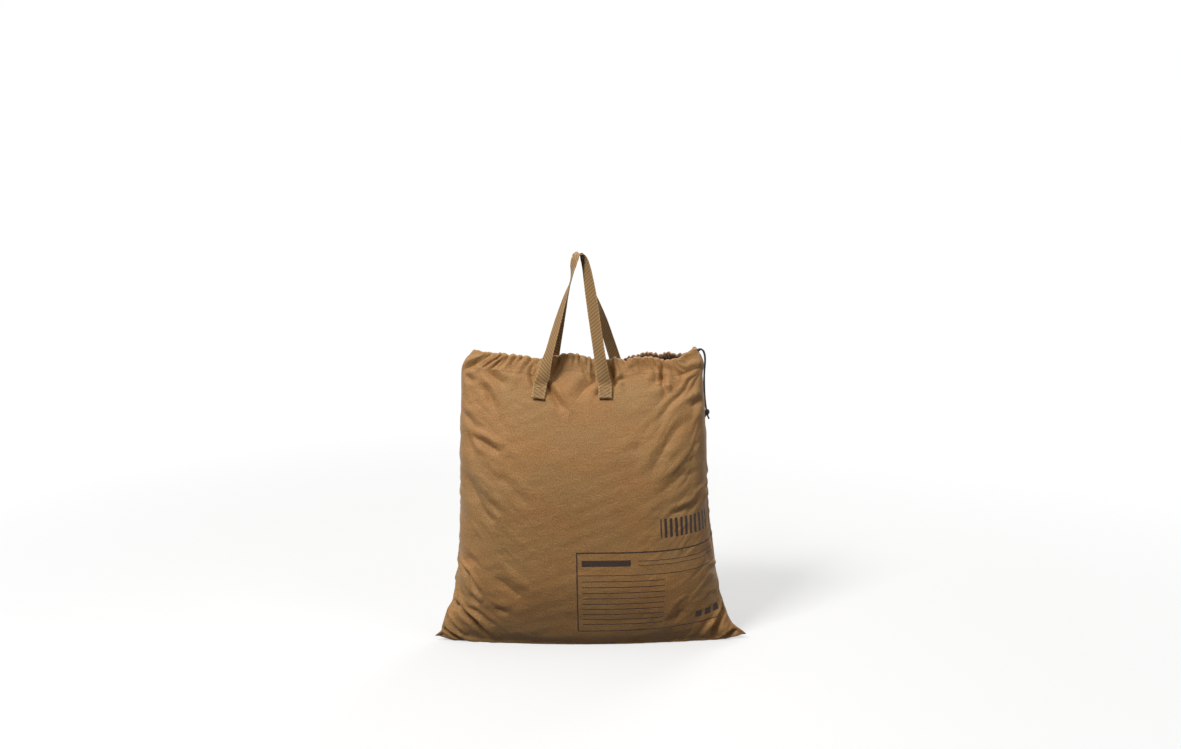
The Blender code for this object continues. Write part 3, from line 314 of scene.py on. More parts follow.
# Small random swells of the finished cloth, and how near its edges they stop
SWELL_PITCH = (0.028, 0.075)
EDGE_CALM = 0.012
FINE_ROWS_START_share = 0.86

# How the cloth settles: light and hardly stretching, held at its edges and gently
# blown up from within. Before it starts it is a little uneven, but not at its edges
SETTLING = {
    "quality": 6, "mass": 0.12, "tension_stiffness": 30, "compression_stiffness": 30,
    "shear_stiffness": 8, "bending_stiffness": 0.8, "air_damping": 2.0,
    "vertex_group_mass": "held", "pin_stiffness": 0.35, "use_pressure": True,
    "uniform_pressure_force": 0.6,
}
EDGE_HOLD = 0.5
LOOSE_HOLD = 0.03
MOUTH_HOLD_START_share = 0.93
MOUTH_HOLD_REACH_share = 0.07
START_SWELL = 0.003
START_SWELL_PITCH = (0.045, 0.13)
START_CALM_SIDE = 0.04
START_CALM_FOOT_share = 0.1
SETTLED_SEAM_REACH = 0.045

# Handles, as in the model's source, but for their left legs: these turn the other
# way there, and show the faces that catch the light in the photograph
WEBBING_WIDTH = 0.029
WEBBING_THICKNESS = 0.0016
SEWN_LENGTH = 0.026
CREASE_CLEARANCE = 0.0009
HANDLE_PEAK = 0.8588
PEAK_SEPARATION = 0.029
FRONT_TABS = (-0.098, 0.038)
BACK_TABS = (-0.091, 0.084)
FRONT_HANDLE_shares = (
    (0.000, 0.000, 0.00, 0.0), (0.036, 0.060, 0.00, -8.0), (0.077, 0.146, 0.03, -30.0),
    (0.151, 0.269, 0.12, -51.0), (0.230, 0.406, 0.30, -56.0), (0.318, 0.550, 0.50, -64.0),
    (0.410, 0.690, 0.68, -76.0), (0.486, 0.800, 0.80, -88.0), (0.515, 0.870, 0.87, -78.0),
    (0.535, 0.925, 0.93, -62.0), (0.561, 0.972, 0.97, -57.0), (0.598, 0.995, 1.00, -58.0),
    (0.635, 1.000, 1.00, -57.0), (0.672, 0.992, 1.00, -56.0), (0.706, 0.962, 0.96, -54.0),
    (0.735, 0.910, 0.91, -50.0), (0.763, 0.830, 0.83, -43.0), (0.808, 0.680, 0.67, -33.0),
    (0.852, 0.520, 0.48, -30.0), (0.892, 0.370, 0.28, -31.0), (0.930, 0.235, 0.12, -30.0),
    (0.962, 0.125, 0.03, -16.0), (0.985, 0.050, 0.00, -4.0), (1.000, 0.000, 0.00, 0.0),
)
BACK_HANDLE_shares = (
    (0.000, 0.000, 0.00, 0.0), (0.020, 0.060, 0.00, 4.0), (0.052, 0.150, 0.03, 20.0),
    (0.113, 0.320, 0.16, 40.0), (0.160, 0.450, 0.34, 46.0), (0.222, 0.600, 0.56, 60.0),
    (0.262, 0.680, 0.66, 74.0), (0.303, 0.750, 0.76, 86.0), (0.328, 0.800, 0.83, 91.0),
    (0.356, 0.870, 0.90, 98.0), (0.378, 0.940, 0.96, 112.0), (0.398, 0.982, 1.00, 120.0),
    (0.425, 1.000, 1.00, 122.0), (0.462, 0.998, 1.00, 122.0), (0.497, 0.972, 1.00, 120.0),
    (0.524, 0.920, 0.95, 114.0), (0.552, 0.850, 0.87, 100.0), (0.600, 0.740, 0.75, 82.0),
    (0.667, 0.620, 0.58, 62.0), (0.735, 0.500, 0.40, 48.0), (0.800, 0.380, 0.23, 42.0),
    (0.870, 0.250, 0.10, 34.0), (0.930, 0.130, 0.02, 16.0), (0.972, 0.050, 0.00, 4.0),
    (1.000, 0.000, 0.00, 0.0),
)
SEWN_TAIL = 0.0055
SEWN_END_FADE = 0.012
SEWN_END_CLEARANCE = 0.0002
STITCH_INSET = 0.0035
STITCH_CREASE_INSET = 0.0060
RIBBON_SPACING = 0.003

# Stitches: place and thickness along one as shares, how high its ends and its middle
# stand, and the length or spacing of the box's and the hem's as shares of the usual
STITCH_SIDES = 6
STITCH_shares = ((-0.5, 0.25), (-0.38, 0.8), (-0.12, 1.0), (0.12, 1.0), (0.38, 0.8), (0.5, 0.25))
STITCH_LIFT_share = 0.55
STITCH_ARCH_share = 1.6
BOX_STITCH_share = 0.86
HEM_PITCH_share = 1.25
HEM_LINE_share = 0.9

# Cord, as in the model's source: the way out of the casing and the two tails
CORD_DIAMETER = 0.0040
CORD_GAP = 0.0003
KNOT_HEIGHT = 0.0125
KNOT_SKIRT = 0.0085
KNOT_TURNS = 2.3
KNOT_RADIUS_share = 2.2
KNOT_OVER = (
    (0.0030, -0.0010, -0.0008), (0.0052, -0.0030, -0.0040), (0.0036, -0.0052, -0.0085),
    (-0.0012, -0.0040, -0.0118),
)
KNOT_ENDS = ((-0.32, -0.0016), (0.42, 0.0018))
KNOT_POINTS = 44
KNOT_TOP_share = 0.8
KNOT_OVER_share = 0.9
KNOT_END_share = 0.95
KNOT_END_FLARE = 1.25
CASING_REACH_share = 0.996
CASING_FOOT_share = 0.97
CASING_POINTS = 61
FRONT_EXIT = ((0.2384, 0.0163, 0.6442), (0.2411, 0.0187, 0.6444))
BACK_EXIT = ((0.2386, 0.0268, 0.6346), (0.2417, 0.0251, 0.6376))
FRONT_TAIL = (
    (0.2444, 0.0188, 0.6452), (0.2471, 0.0189, 0.6459), (0.2499, 0.0191, 0.6455),
    (0.2526, 0.0194, 0.6436), (0.2550, 0.0200, 0.6401), (0.2568, 0.0208, 0.6353),
    (0.2580, 0.0219, 0.6293), (0.2586, 0.0232, 0.6225), (0.2588, 0.0246, 0.6150),
    (0.2586, 0.0261, 0.6072), (0.2581, 0.0277, 0.5990), (0.2577, 0.0294, 0.5905),
    (0.2576, 0.0309, 0.5815), (0.2577, 0.0322, 0.5725), (0.2579, 0.0332, 0.5630),
    (0.2582, 0.0339, 0.5535), (0.2586, 0.0343, 0.5440), (0.2592, 0.0346, 0.5350),
    (0.2601, 0.0348, 0.5260), (0.2613, 0.0351, 0.5160), (0.2628, 0.0355, 0.5065),
)
BACK_TAIL = (
    (0.2440, 0.0252, 0.6400), (0.2462, 0.0253, 0.6423), (0.2487, 0.0255, 0.6438),
    (0.2514, 0.0258, 0.6438), (0.2540, 0.0262, 0.6421), (0.2562, 0.0268, 0.6391),
    (0.2578, 0.0275, 0.6349), (0.2589, 0.0284, 0.6297), (0.2595, 0.0295, 0.6235),
    (0.2596, 0.0308, 0.6165), (0.2592, 0.0323, 0.6085), (0.2586, 0.0339, 0.6000),
    (0.2580, 0.0355, 0.5905), (0.2577, 0.0369, 0.5805), (0.2577, 0.0381, 0.5705),
    (0.2579, 0.0391, 0.5605), (0.2582, 0.0398, 0.5505), (0.2588, 0.0402, 0.5400),
    (0.2597, 0.0403, 0.5290), (0.2611, 0.0402, 0.5175), (0.2628, 0.0399, 0.5065),
)

# The folded sofa, as in the model's source
RUN_THICKNESS = BAG_DEPTH * 0.1162
RUN_GAP = 0.0020
FOLD_RADIUS = 0.0110
FREE_END_RADIUS = 0.0050
PACK_CENTRE = -0.010
COVER_WALL = 0.0015
LOW_CORNER_DRAW = 0.0092
LOW_CORNER_TOP = 0.21
LOW_CORNER_FADE = 0.12
END_DRAW = 0.0034
BLADDER_GAP = 0.0010
COVER_CREASE = 0.0006
COVER_CREASE_PITCH = (0.03, 0.09)
COVER_SINK = 0.0008
END_DRAW_POWER = 14
LOW_CORNER_POWER = 4
COVER_POINTS_ROUND = 260
COVER_POINTS_ACROSS = 64
COVER_EDGE_DEG = 60.0
VALVE_EDGE_DEG = 35

# Zips: the tape's section as shares of its half width and thickness, and the teeth
ZIP_TAPE_THICKNESS = 0.0008
ZIP_TAPE_shares = (
    (-1.0, 0.3), (-0.97, 0.9), (-0.6, 0.75), (-0.3, 0.8), (-0.2, 1.0), (0.2, 1.0), (0.3, 0.8),
    (0.6, 0.75), (0.97, 0.9), (1.0, 0.3),
)
ZIP_END = 0.003
TOOTH_PITCH = 0.0016
TOOTH_LENGTH = 0.0009
TOOTH_WIDTH = 0.0027
TOOTH_OFFSET = 0.0009
TOOTH_shares = ((0.0, 1.0), (0.75, 1.0), (1.0, 0.6))
ZIP_POINTS = 96
ZIP_EDGE_DEG = 40.0

# Camera, fitted to the photograph's 1181 x 749 frame
IMAGE_WIDTH = 1181
FOCAL_PIXELS = 1449
SENSOR_WIDTH = 36.0
CAMERA_PLACE = (0.0696, -3.1023, 1.1941)
CAMERA_PITCH_DEG = 10.926
CAMERA_YAW_DEG = -1.138
CAMERA_ROLL_DEG = -0.751

# Stage: how wide the floor is, from where to where it fades to white, how much of its
# white near the object doesn't come from the lamps, and the light of the surroundings,
# straight above and as a share of that at the horizon
FLOOR_RADIUS = 30.0
FLOOR_FADE_START = 0.5
FLOOR_FADE = 2.6
FLOOR_GLOW = 0.45
SKY_LIGHT = 0.19
LOW_SKY_share = 0.22
WHITE = (1.0, 1.0, 1.0, 1.0)
# Square lamps, all aimed at one point: place, power in watts and size
LAMPS = (
    ("key_light", (-1.65, -1.95, 3.5), 143.0, 1.1),
    ("fill_light", (2.2, -1.8, 3.1), 18.0, 1.4),
    ("top_light", (0.0, 0.4, 3.2), 16.0, 2.0),
    ("rear_light", (1.6, 2.8, 2.2), 42.0, 1.6),
)
LAMP_AIM = (0.0, 0.0, 0.35)


# Curves and grids

def smooth_through(places, values, wanted, even=False):
    """Values on a smooth curve through a table. It overshoots nothing, unless even."""
    places, wanted = np.asarray(places, float), np.asarray(wanted, float)
    values = np.asarray(values, float).reshape(len(places), -1)
    steps = np.diff(places)[:, None]
    slopes = np.diff(values, axis=0) / steps
    low, high = slopes[:-1], slopes[1:]
    if even:
        inner = (low * steps[1:] + high * steps[:-1]) / (steps[1:] + steps[:-1])
    else:
        same = low * high > 0
        inner = np.where(same, 2 * low * high / np.where(same, low + high, 1), 0)
    tangents = np.vstack([slopes[:1], inner, slopes[-1:]])
    index = np.clip(np.searchsorted(places, wanted, side="right") - 1, 0, len(places) - 2)
    step = steps[index]
    t = (wanted[:, None] - places[index][:, None]) / step
    return (
        values[index] * (1 + 2 * t) * (1 - t) ** 2 + values[index + 1] * t * t * (3 - 2 * t)
        + tangents[index] * step * t * (1 - t) ** 2 - tangents[index + 1] * step * t * t * (1 - t)
    )


def table_at(table, wanted):
    rows = np.array(table)
    return smooth_through(rows[:, 0], rows[:, 1:], wanted)


def ease(amount):
    """0 to 1 with a soft start and end."""
    amount = np.clip(amount, 0, 1)
    return amount * amount * (3 - 2 * amount)


def unit(vectors):
    """The vectors, each with a length of 1."""
    return vectors / np.linalg.norm(vectors, axis=-1, keepdims=True)


def lengths_along(points):
    return np.concatenate([[0], np.cumsum(np.linalg.norm(np.diff(points, axis=0), axis=1))])


def read_along(points, run, wanted):
    """Places at the wanted distances along a line, whose points lie at the run's."""
    return np.stack([np.interp(wanted, run, column) for column in points.T], axis=1)


def flat_places(columns, shares):
    """Each point's place on the flat cloth: across from its middle, up from its foot."""
    return np.stack(np.meshgrid(columns * SEAM_SPAN / 2, shares * PANEL_LENGTH), axis=-1)


def evenly_along(points, spacing):
    """The smooth line through the points, with a point about every spacing."""
    points = np.array(points, float)
    run = lengths_along(points)
    count = max(int(round(run[-1] / spacing)), 2) + 1
    return smooth_through(run, points, np.linspace(0, run[-1], count), even=True)


def grid_normals(points, side):
    """Unit vectors out of the bag at each point of a panel's grid."""
    across = np.gradient(points, axis=1)
    up = np.gradient(points, axis=0)
    normals = np.cross(across, up) * -side
    return normals / np.maximum(np.linalg.norm(normals, axis=2, keepdims=True), 1e-9)


def ring_faces(rings, ring_size, closed_ends=True):
    """Faces of a tube of rings, each of the same number of points."""
    faces = []
    for ring in range(rings - 1):
        for point in range(ring_size):
            after = (point + 1) % ring_size
            low, high = ring * ring_size, (ring + 1) * ring_size
            faces.append((low + point, low + after, high + after, high + point))
    if closed_ends:
        faces.append(tuple(reversed(range(ring_size))))
        faces.append(tuple((rings - 1) * ring_size + point for point in range(ring_size)))
    return faces


def sheet_faces(rows, columns, flip):
    faces = []
    for row in range(rows - 1):
        for column in range(columns - 1):
            first = row * columns + column
            face = (first, first + 1, first + columns + 1, first + columns)
            faces.append(face[::-1] if flip else face)
    return faces


def mesh_piece(name, points, faces, materials, smooth_angle=None):
    mesh = bpy.data.meshes.new(name)
    mesh.from_pydata(np.asarray(points, float).reshape(-1, 3).tolist(), [], faces)
    mesh.update()
    mesh.shade_smooth()
    if smooth_angle:
        mesh.set_sharp_from_angle(angle=math.radians(smooth_angle))
    for material in materials:
        mesh.materials.append(material)
    piece = bpy.data.objects.new(name, mesh)
    bpy.context.scene.collection.objects.link(piece)
    return piece


def store(piece, name, shape, *distances):
    """Keep distances at each point of a piece, in mm, for its material to read."""
    marks = np.zeros(shape)
    for axis, distance in enumerate(distances):
        marks[..., axis] = distance / MM
    attribute = piece.data.attributes.new(name, "FLOAT_VECTOR", "POINT")
    attribute.data.foreach_set("vector", marks.astype(np.float32).reshape(-1))


def use_second_material(piece, first_face):
    """Give the faces from the first one on the second material."""
    for face in piece.data.polygons[first_face:]:
        face.material_index = 1


# Materials

MATH = "ShaderNodeMath"
VECTOR_MATH = "ShaderNodeVectorMath"
MAP_RANGE = "ShaderNodeMapRange"
MIX = "ShaderNodeMix"
NOISE = "ShaderNodeTexNoise"
COORDINATES = "ShaderNodeTexCoord"
SEPARATE = "ShaderNodeSeparateXYZ"
ATTRIBUTE = "ShaderNodeAttribute"


def linear(hex_colour):
    """Linear colour of an sRGB hex value such as A17D50."""
    parts = [int(hex_colour[start:start + 2], 16) / 255 for start in (0, 2, 4)]
    return tuple(
        part / 12.92 if part <= 0.04045 else ((part + 0.055) / 1.055) ** 2.4 for part in parts
    ) + (1.0,)


def fill(tree, socket, value):
    """Give an input a value, a link, or a link to another node's first output."""
    if isinstance(value, bpy.types.Node):
        value = value.outputs[0]
    if isinstance(value, bpy.types.NodeSocket):
        tree.links.new(value, socket)
    else:
        socket.default_value = value


def add_node(tree, kind, inputs=None, **settings):
    """Add a node, set its options and fill its inputs."""
    node = tree.nodes.new(kind)
    for name, value in settings.items():
        setattr(node, name, value)
    for key, value in (inputs or {}).items():
        fill(tree, node.inputs[key], value)
    return node


def new_material(name, inputs):
    """A material whose shader starts from the given values."""
    material = bpy.data.materials.new(name)
    material.use_nodes = True
    shader = material.node_tree.nodes["Principled BSDF"]
    for key, value in inputs.items():
        shader.inputs[key].default_value = value
    return material, material.node_tree, shader


def ridges(tree, value, pitch_mm):
    """Rounded ridges between 0 and 1, one to each pitch, across a distance in mm."""
    turns = add_node(tree, MATH, {0: value, 1: math.pi / pitch_mm}, operation="MULTIPLY")
    wave = add_node(tree, MATH, {0: turns}, operation="SINE")
    return add_node(tree, MATH, {0: wave}, operation="ABSOLUTE")


def woven_height(tree, place, pitch_mm):
    """Plain weave: round threads over and under each other, from places in mm."""
    parts = add_node(tree, SEPARATE, {0: place})
    warp, weft = [ridges(tree, parts.outputs[axis], pitch_mm) for axis in (0, 1)]
    cells = add_node(tree, VECTOR_MATH, {0: place, "Scale": 1 / pitch_mm}, operation="SCALE")
    over = add_node(tree, "ShaderNodeTexChecker", {"Vector": cells, "Scale": 1.0})
    return add_node(tree, MIX, {"Factor": over.outputs["Fac"], "A": warp, "B": weft})


def patches(tree, place, size_mm, detail=2.0):
    """Noise between 0 and 1 whose patches have the given size along each axis."""
    shrink = tuple(1 / size for size in size_mm)
    scaled = add_node(tree, VECTOR_MATH, {0: place, 1: shrink}, operation="MULTIPLY")
    return add_node(tree, NOISE, {"Vector": scaled, "Scale": 1.0, "Detail": detail})


def shaded(tree, colour, layers):
    """A colour that each layer makes darker or lighter, from low to high as the layer's
    height goes from 0 to 1."""
    shade = add_node(tree, "ShaderNodeRGB")
    shade.outputs[0].default_value = linear(colour)
    for height, low, high in layers:
        level = add_node(tree, MAP_RANGE, {"Value": height, "To Min": low, "To Max": high})
        shade = add_node(tree, VECTOR_MATH, {0: shade, "Scale": level}, operation="SCALE")
    return shade


def finish_surface(tree, shader, shade, height, depth, strength=1.0):
    """Give a shader its colour and the fine relief of a height, a depth in metres deep."""
    relief = add_node(
        tree, "ShaderNodeBump", {"Height": height, "Distance": depth, "Strength": strength})
    fill(tree, shader.inputs["Base Color"], shade)
    fill(tree, shader.inputs["Normal"], relief)


# A generic write-on panel printed low on the bag's right, in mm on the flat cloth:
# left, right, low and high edges of each plain bar
PANEL_BARS_MM = (
    (-26, 322, 269.0, 272.4), (-26, 322, 84.0, 86.4), (-26, -23, 84.0, 272.4),
    (-14, 96, 240.0, 254.0), (-26, 322, 219.0, 220.5), (252, 268, 100.0, 116.0),
    (276, 292, 100.0, 116.0), (300, 316, 100.0, 116.0),
)
# Ruled lines of the panel: left, right, lowest line, highest line, spacing, thickness
PANEL_RULES_MM = (
    (-14, 172, 103.2, 206.0, 12.85, 1.9), (112, 310, 241.0, 253.0, 10.0, 1.5),
)
# Upright bars above the panel: left, right, low, high, spacing, thickness
PANEL_STRIPES_MM = (
    (166, 292, 300.0, 342.0, 12.4, 6.4),
)


def block(tree, parts, left, right, low, high):
    """1 inside a rectangle of the flat cloth."""
    bands = []
    for axis, start, end in ((0, left, right), (1, low, high)):
        middle = {0: parts.outputs[axis], 1: (start + end) / 2}
        offset = add_node(tree, MATH, middle, operation="SUBTRACT")
        gap = add_node(tree, MATH, {0: offset}, operation="ABSOLUTE")
        bands.append(add_node(tree, MATH, {0: gap, 1: (end - start) / 2}, operation="LESS_THAN"))
    return add_node(tree, MATH, {0: bands[0], 1: bands[1]}, operation="MULTIPLY")


def ruled(tree, area, value, low, spacing, thickness):
    """What is left of an area on lines at a steady spacing from low."""
    offset = add_node(tree, MATH, {0: value, 1: low - thickness / 2}, operation="SUBTRACT")
    beyond_line = add_node(tree, MATH, {0: offset, 1: spacing}, operation="FLOORED_MODULO")
    lines = add_node(tree, MATH, {0: beyond_line, 1: thickness}, operation="LESS_THAN")
    return add_node(tree, MATH, {0: area, 1: lines}, operation="MULTIPLY")


def printed_panel(tree, place):
    """1 where the write-on panel is printed."""
    parts = add_node(tree, SEPARATE, {0: place})
    marks = [block(tree, parts, *bar) for bar in PANEL_BARS_MM]
    for left, right, low, high, spacing, thickness in PANEL_RULES_MM:
        area = block(tree, parts, left, right, low - thickness, high + thickness)
        marks.append(ruled(tree, area, parts.outputs[1], low, spacing, thickness))
    for left, right, low, high, spacing, thickness in PANEL_STRIPES_MM:
        area = block(tree, parts, left, right, low, high)
        marks.append(ruled(tree, area, parts.outputs[0], left, spacing, thickness))
    ink = marks[0]
    for mark in marks[1:]:
        ink = add_node(tree, MATH, {0: ink, 1: mark}, operation="MAXIMUM")
    return ink


# The dye fades unevenly: how much of the red, green and blue is left
WARM_CAST = (1.03, 0.985, 0.95)
GREEN_CAST = (0.965, 1.02, 1.05)

# Spacing of threads, ribs and strands as they are drawn, in mm
WEAVE_PITCH_MM = 1.3
RIB_PITCH_MM = 7.4
RIB_SLANT = 0.55
WEBBING_YARN_PITCH_MM = 1.2
WEBBING_EDGE_MM = 12.2
STRAND_PITCH_MM = 1.57


def oxford_cloth(name, colour, ink_colour=None, coated_back=False):
    """Polyester Oxford, basket woven from thick yarn and coated on its back: a matt,
    slightly silky cloth with a fine grain. The coated back is smoother; the dark colour
    it is given is painted shade, inside the bag and in the mouth's turned-in casing.
    The yarns lie 0.55 mm apart, too fine to show, so the weave is drawn at 1.3 mm."""
    material, tree, shader = new_material(name, {
        "Roughness": 0.42 if coated_back else 0.56, "IOR": 1.47,
        "Sheen Weight": 0.0 if coated_back else 0.12, "Sheen Roughness": 0.45,
        "Specular IOR Level": 0.38})
    place = add_node(tree, ATTRIBUTE, attribute_name="cloth_mm").outputs["Vector"]
    weave = woven_height(tree, place, WEAVE_PITCH_MM)
    slub = patches(tree, place, (2.4, 1.7, 1.0), 3.0)
    speckle = patches(tree, place, (3.0, 3.0, 3.0), 2.0)
    drift = patches(tree, place, (95.0, 120.0, 1.0), 3.0)
    rumple = patches(tree, place, (26.0, 19.0, 1.0), 4.0)
    fading = patches(tree, place, (150.0, 110.0, 90.0), 1.0)
    shade = shaded(tree, colour, (
        (weave, 0.84, 1.10), (slub, 0.78, 1.22), (speckle, 0.32, 1.68), (drift, 0.88, 1.12)))
    cast = add_node(tree, MAP_RANGE, {
        "Vector": fading, 7: (0.35, 0.35, 0.35), 8: (0.65, 0.65, 0.65),
        9: WARM_CAST, 10: GREEN_CAST}, data_type="FLOAT_VECTOR").outputs["Vector"]
    shade = add_node(tree, VECTOR_MATH, {0: shade, 1: cast}, operation="MULTIPLY")
    if ink_colour:
        worn = add_node(tree, MATH, {0: slub, 1: 0.30}, operation="GREATER_THAN")
        printed = {0: printed_panel(tree, place), 1: worn}
        ink = add_node(tree, MATH, printed, operation="MULTIPLY")
        shade = add_node(tree, MIX, {
            "Factor": ink, 6: shade, 7: linear(ink_colour)}, data_type="RGBA").outputs[2]
    grain = add_node(tree, MATH, {0: slub, 1: 0.5, 2: weave}, operation="MULTIPLY_ADD")
    level = add_node(tree, MATH, {0: rumple, 1: 0.5}, operation="SUBTRACT")
    folded = add_node(tree, MATH, {0: level}, operation="ABSOLUTE")
    height = add_node(tree, MATH, {0: folded, 1: 15.0, 2: grain}, operation="MULTIPLY_ADD")
    finish_surface(tree, shader, shade, height, 0.00022, 0.4 if coated_back else 0.8)
    return material


def webbing_cloth(colour):
    """Polyester webbing, woven flat on a narrow loom: slanting ribs, paler, thicker
    edges and a dry, matt face. The ribs lie 1.8 mm apart, too fine to show from the
    camera's distance, so they are drawn at 7.4 mm."""
    material, tree, shader = new_material("woven_polyester_webbing", {
        "Roughness": 0.78, "IOR": 1.47, "Sheen Weight": 0.15, "Specular IOR Level": 0.30})
    place = add_node(tree, ATTRIBUTE, attribute_name="webbing_mm").outputs["Vector"]
    parts = add_node(tree, SEPARATE, {0: place})
    along, across = parts.outputs[0], parts.outputs[1]
    slanted = add_node(tree, MATH, {0: across, 1: RIB_SLANT, 2: along}, operation="MULTIPLY_ADD")
    rib = ridges(tree, slanted, RIB_PITCH_MM)
    yarn = ridges(tree, across, WEBBING_YARN_PITCH_MM)
    height = add_node(tree, MATH, {0: yarn, 1: 0.45, 2: rib}, operation="MULTIPLY_ADD")
    fuzz = patches(tree, place, (1.3, 1.3, 1.3), 3.0)
    drift = patches(tree, place, (45.0, 30.0, 1.0), 2.0)
    offset = add_node(tree, MATH, {0: across}, operation="ABSOLUTE")
    edge = add_node(tree, MATH, {0: offset, 1: WEBBING_EDGE_MM}, operation="GREATER_THAN")
    shade = shaded(tree, colour, (
        (rib, 0.60, 1.22), (fuzz, 0.70, 1.30), (drift, 0.93, 1.07), (edge, 0.96, 1.30)))
    finish_surface(tree, shader, shade, height, 0.00030, 0.9)
    return material


def sewing_thread(name, colour):
    """Bonded polyester thread, twisted from three plies: a slight gloss and a slanting
    lay, in patches of 0.56 mm. On the handles it is paler than the webbing, and in the
    hem a little darker than the cloth."""
    material, tree, shader = new_material(name, {"Roughness": 0.48, "IOR": 1.5})
    place = add_node(tree, COORDINATES).outputs["Object"]
    lay = add_node(tree, NOISE, {"Vector": place, "Scale": 1800.0, "Detail": 2.0})
    finish_surface(tree, shader, shaded(tree, colour, [(lay, 0.82, 1.12)]), lay, 0.00008)
    return material


def braided_cord(colour):
    """Polyester cord braided from sixteen strands round a core: a dark, slightly
    glossy herringbone, each strand about 1.5 mm wide."""
    material, tree, shader = new_material(
        "braided_polyester_cord", {"Roughness": 0.50, "IOR": 1.5, "Sheen Weight": 0.1})
    place = add_node(tree, ATTRIBUTE, attribute_name="cord_mm").outputs["Vector"]
    parts = add_node(tree, SEPARATE, {0: place})
    strands = []
    for slant in ("ADD", "SUBTRACT"):
        way = add_node(tree, MATH, {0: parts.outputs[0], 1: parts.outputs[1]}, operation=slant)
        turns = add_node(tree, MATH, {0: way, 1: math.pi / STRAND_PITCH_MM}, operation="MULTIPLY")
        strands.append(add_node(tree, MATH, {0: turns}, operation="SINE"))
    height = add_node(tree, MATH, {0: strands[0], 1: strands[1]}, operation="MAXIMUM")
    finish_surface(tree, shader, shaded(tree, colour, [(height, 0.55, 1.5)]), height, 0.00025)
    return material


def moulded_plastic(name, colour, roughness, grain_mm, ior=1.53):
    """Injection-moulded plastic, such as ABS, nylon or silicone: an even colour whose
    fine spark-eroded grain softens its highlights."""
    material, tree, shader = new_material(name, {"Roughness": roughness, "IOR": ior})
    place = add_node(tree, COORDINATES).outputs["Object"]
    grain_scale = 1 / (grain_mm * MM)
    grain = add_node(tree, NOISE, {"Vector": place, "Scale": grain_scale, "Detail": 2.0})
    patch = add_node(tree, NOISE, {"Vector": place, "Scale": 60.0, "Detail": 2.0})
    gloss = add_node(tree, MAP_RANGE, {
        "Value": patch, "To Min": roughness - 0.06, "To Max": roughness + 0.06})
    fill(tree, shader.inputs["Roughness"], gloss)
    shade = shaded(tree, colour, ((patch, 0.9, 1.1), (grain, 0.95, 1.05)))
    finish_surface(tree, shader, shade, grain, 0.00006)
    return material


def bladder_film(colour):
    """Welded TPU film, calendered smooth: a milky, soft gloss with faint creases."""
    material, tree, shader = new_material("calendered_tpu_film", {"Roughness": 0.30, "IOR": 1.50})
    place = add_node(tree, COORDINATES).outputs["Object"]
    crease = add_node(tree, NOISE, {
        "Vector": place, "Scale": 90.0, "Detail": 4.0, "Distortion": 0.8})
    finish_surface(tree, shader, shaded(tree, colour, [(crease, 0.88, 1.08)]), crease, 0.0006)
    return material


def zip_metal(colour):
    """Die-cast zinc, tumbled and nickel plated: a grey metal with soft, worn gloss."""
    material, tree, shader = new_material(
        "plated_die_cast_zinc", {"Roughness": 0.34, "Metallic": 1.0})
    place = add_node(tree, COORDINATES).outputs["Object"]
    wear = add_node(tree, NOISE, {"Vector": place, "Scale": 700.0, "Detail": 4.0})
    gloss = add_node(tree, MAP_RANGE, {"Value": wear, "To Min": 0.24, "To Max": 0.46})
    fill(tree, shader.inputs["Roughness"], gloss)
    finish_surface(tree, shader, shaded(tree, colour, [(wear, 0.85, 1.12)]), wear, 0.00004)
    return material


# The bag's cloth

def panel_surface(side, shares, columns):
    """The bag's smooth shape: rows of points at shares of the panel's length, spread
    evenly across the cloth at columns from -1 to 1."""
    half_depth = BAG_DEPTH / 2
    seam = table_at(SIDE_SEAM_shares, shares)
    line = table_at(FRONT_LINE_shares if side == FRONT else BACK_LINE_shares, shares)
    power = table_at(SQUARENESS_shares, shares)[:, 0]
    turn = np.linspace(-math.pi / 2, math.pi / 2, SECTION_POINTS)
    sine, cosine = np.abs(np.sin(turn)), np.maximum(np.cos(turn), 0)
    rise_table = FRONT_HEM_RISE if side == FRONT else BACK_HEM_RISE
    rise = table_at(rise_table, np.array(columns) * SEAM_SPAN / 2)[:, 0]
    rows = []
    closing = ease((np.array(shares) - SIDES_MEET_START_share) / SIDES_MEET_REACH_share)
    apart = side * SEAM_HALF_GAP * (1 - closing)
    for share, (left, right, seam_y, seam_z), (line_y, line_z), bend, gap in zip(
            shares, seam, line, power, apart):
        full = cosine ** (2 / bend)
        reach = np.where(turn < 0, left, right) * SEAM_SPAN / 2
        points = np.stack([
            np.sign(turn) * sine ** (2 / bend) * reach,
            (seam_y + (line_y - seam_y) * full) * half_depth + gap,
            (seam_z + (line_z - seam_z) * full) * MOUTH_HEIGHT,
        ], axis=1)
        run = lengths_along(points)
        middle = run[len(turn) // 2]
        across = np.where(turn < 0, run / middle - 1, (run - middle) / (run[-1] - middle))
        row = read_along(points, across, columns)
        if side == FRONT:
            low, high = BELLY_TUCK_shares
            level = np.clip((share - low) / (high - low), 0, 1)
            tuck = BELLY_TUCK * math.sin(math.pi * level ** BELLY_TUCK_LEAN) ** 2
            row[:, 1] += tuck * (1 - np.array(columns) ** 2)
        row[:, 2] += rise * ease((share - HEM_RISE_START_share) / (1 - HEM_RISE_START_share))
        row[:, 2] = np.maximum(row[:, 2], FLOOR_CLEARANCE)
        rows.append(row)
    return np.array(rows)


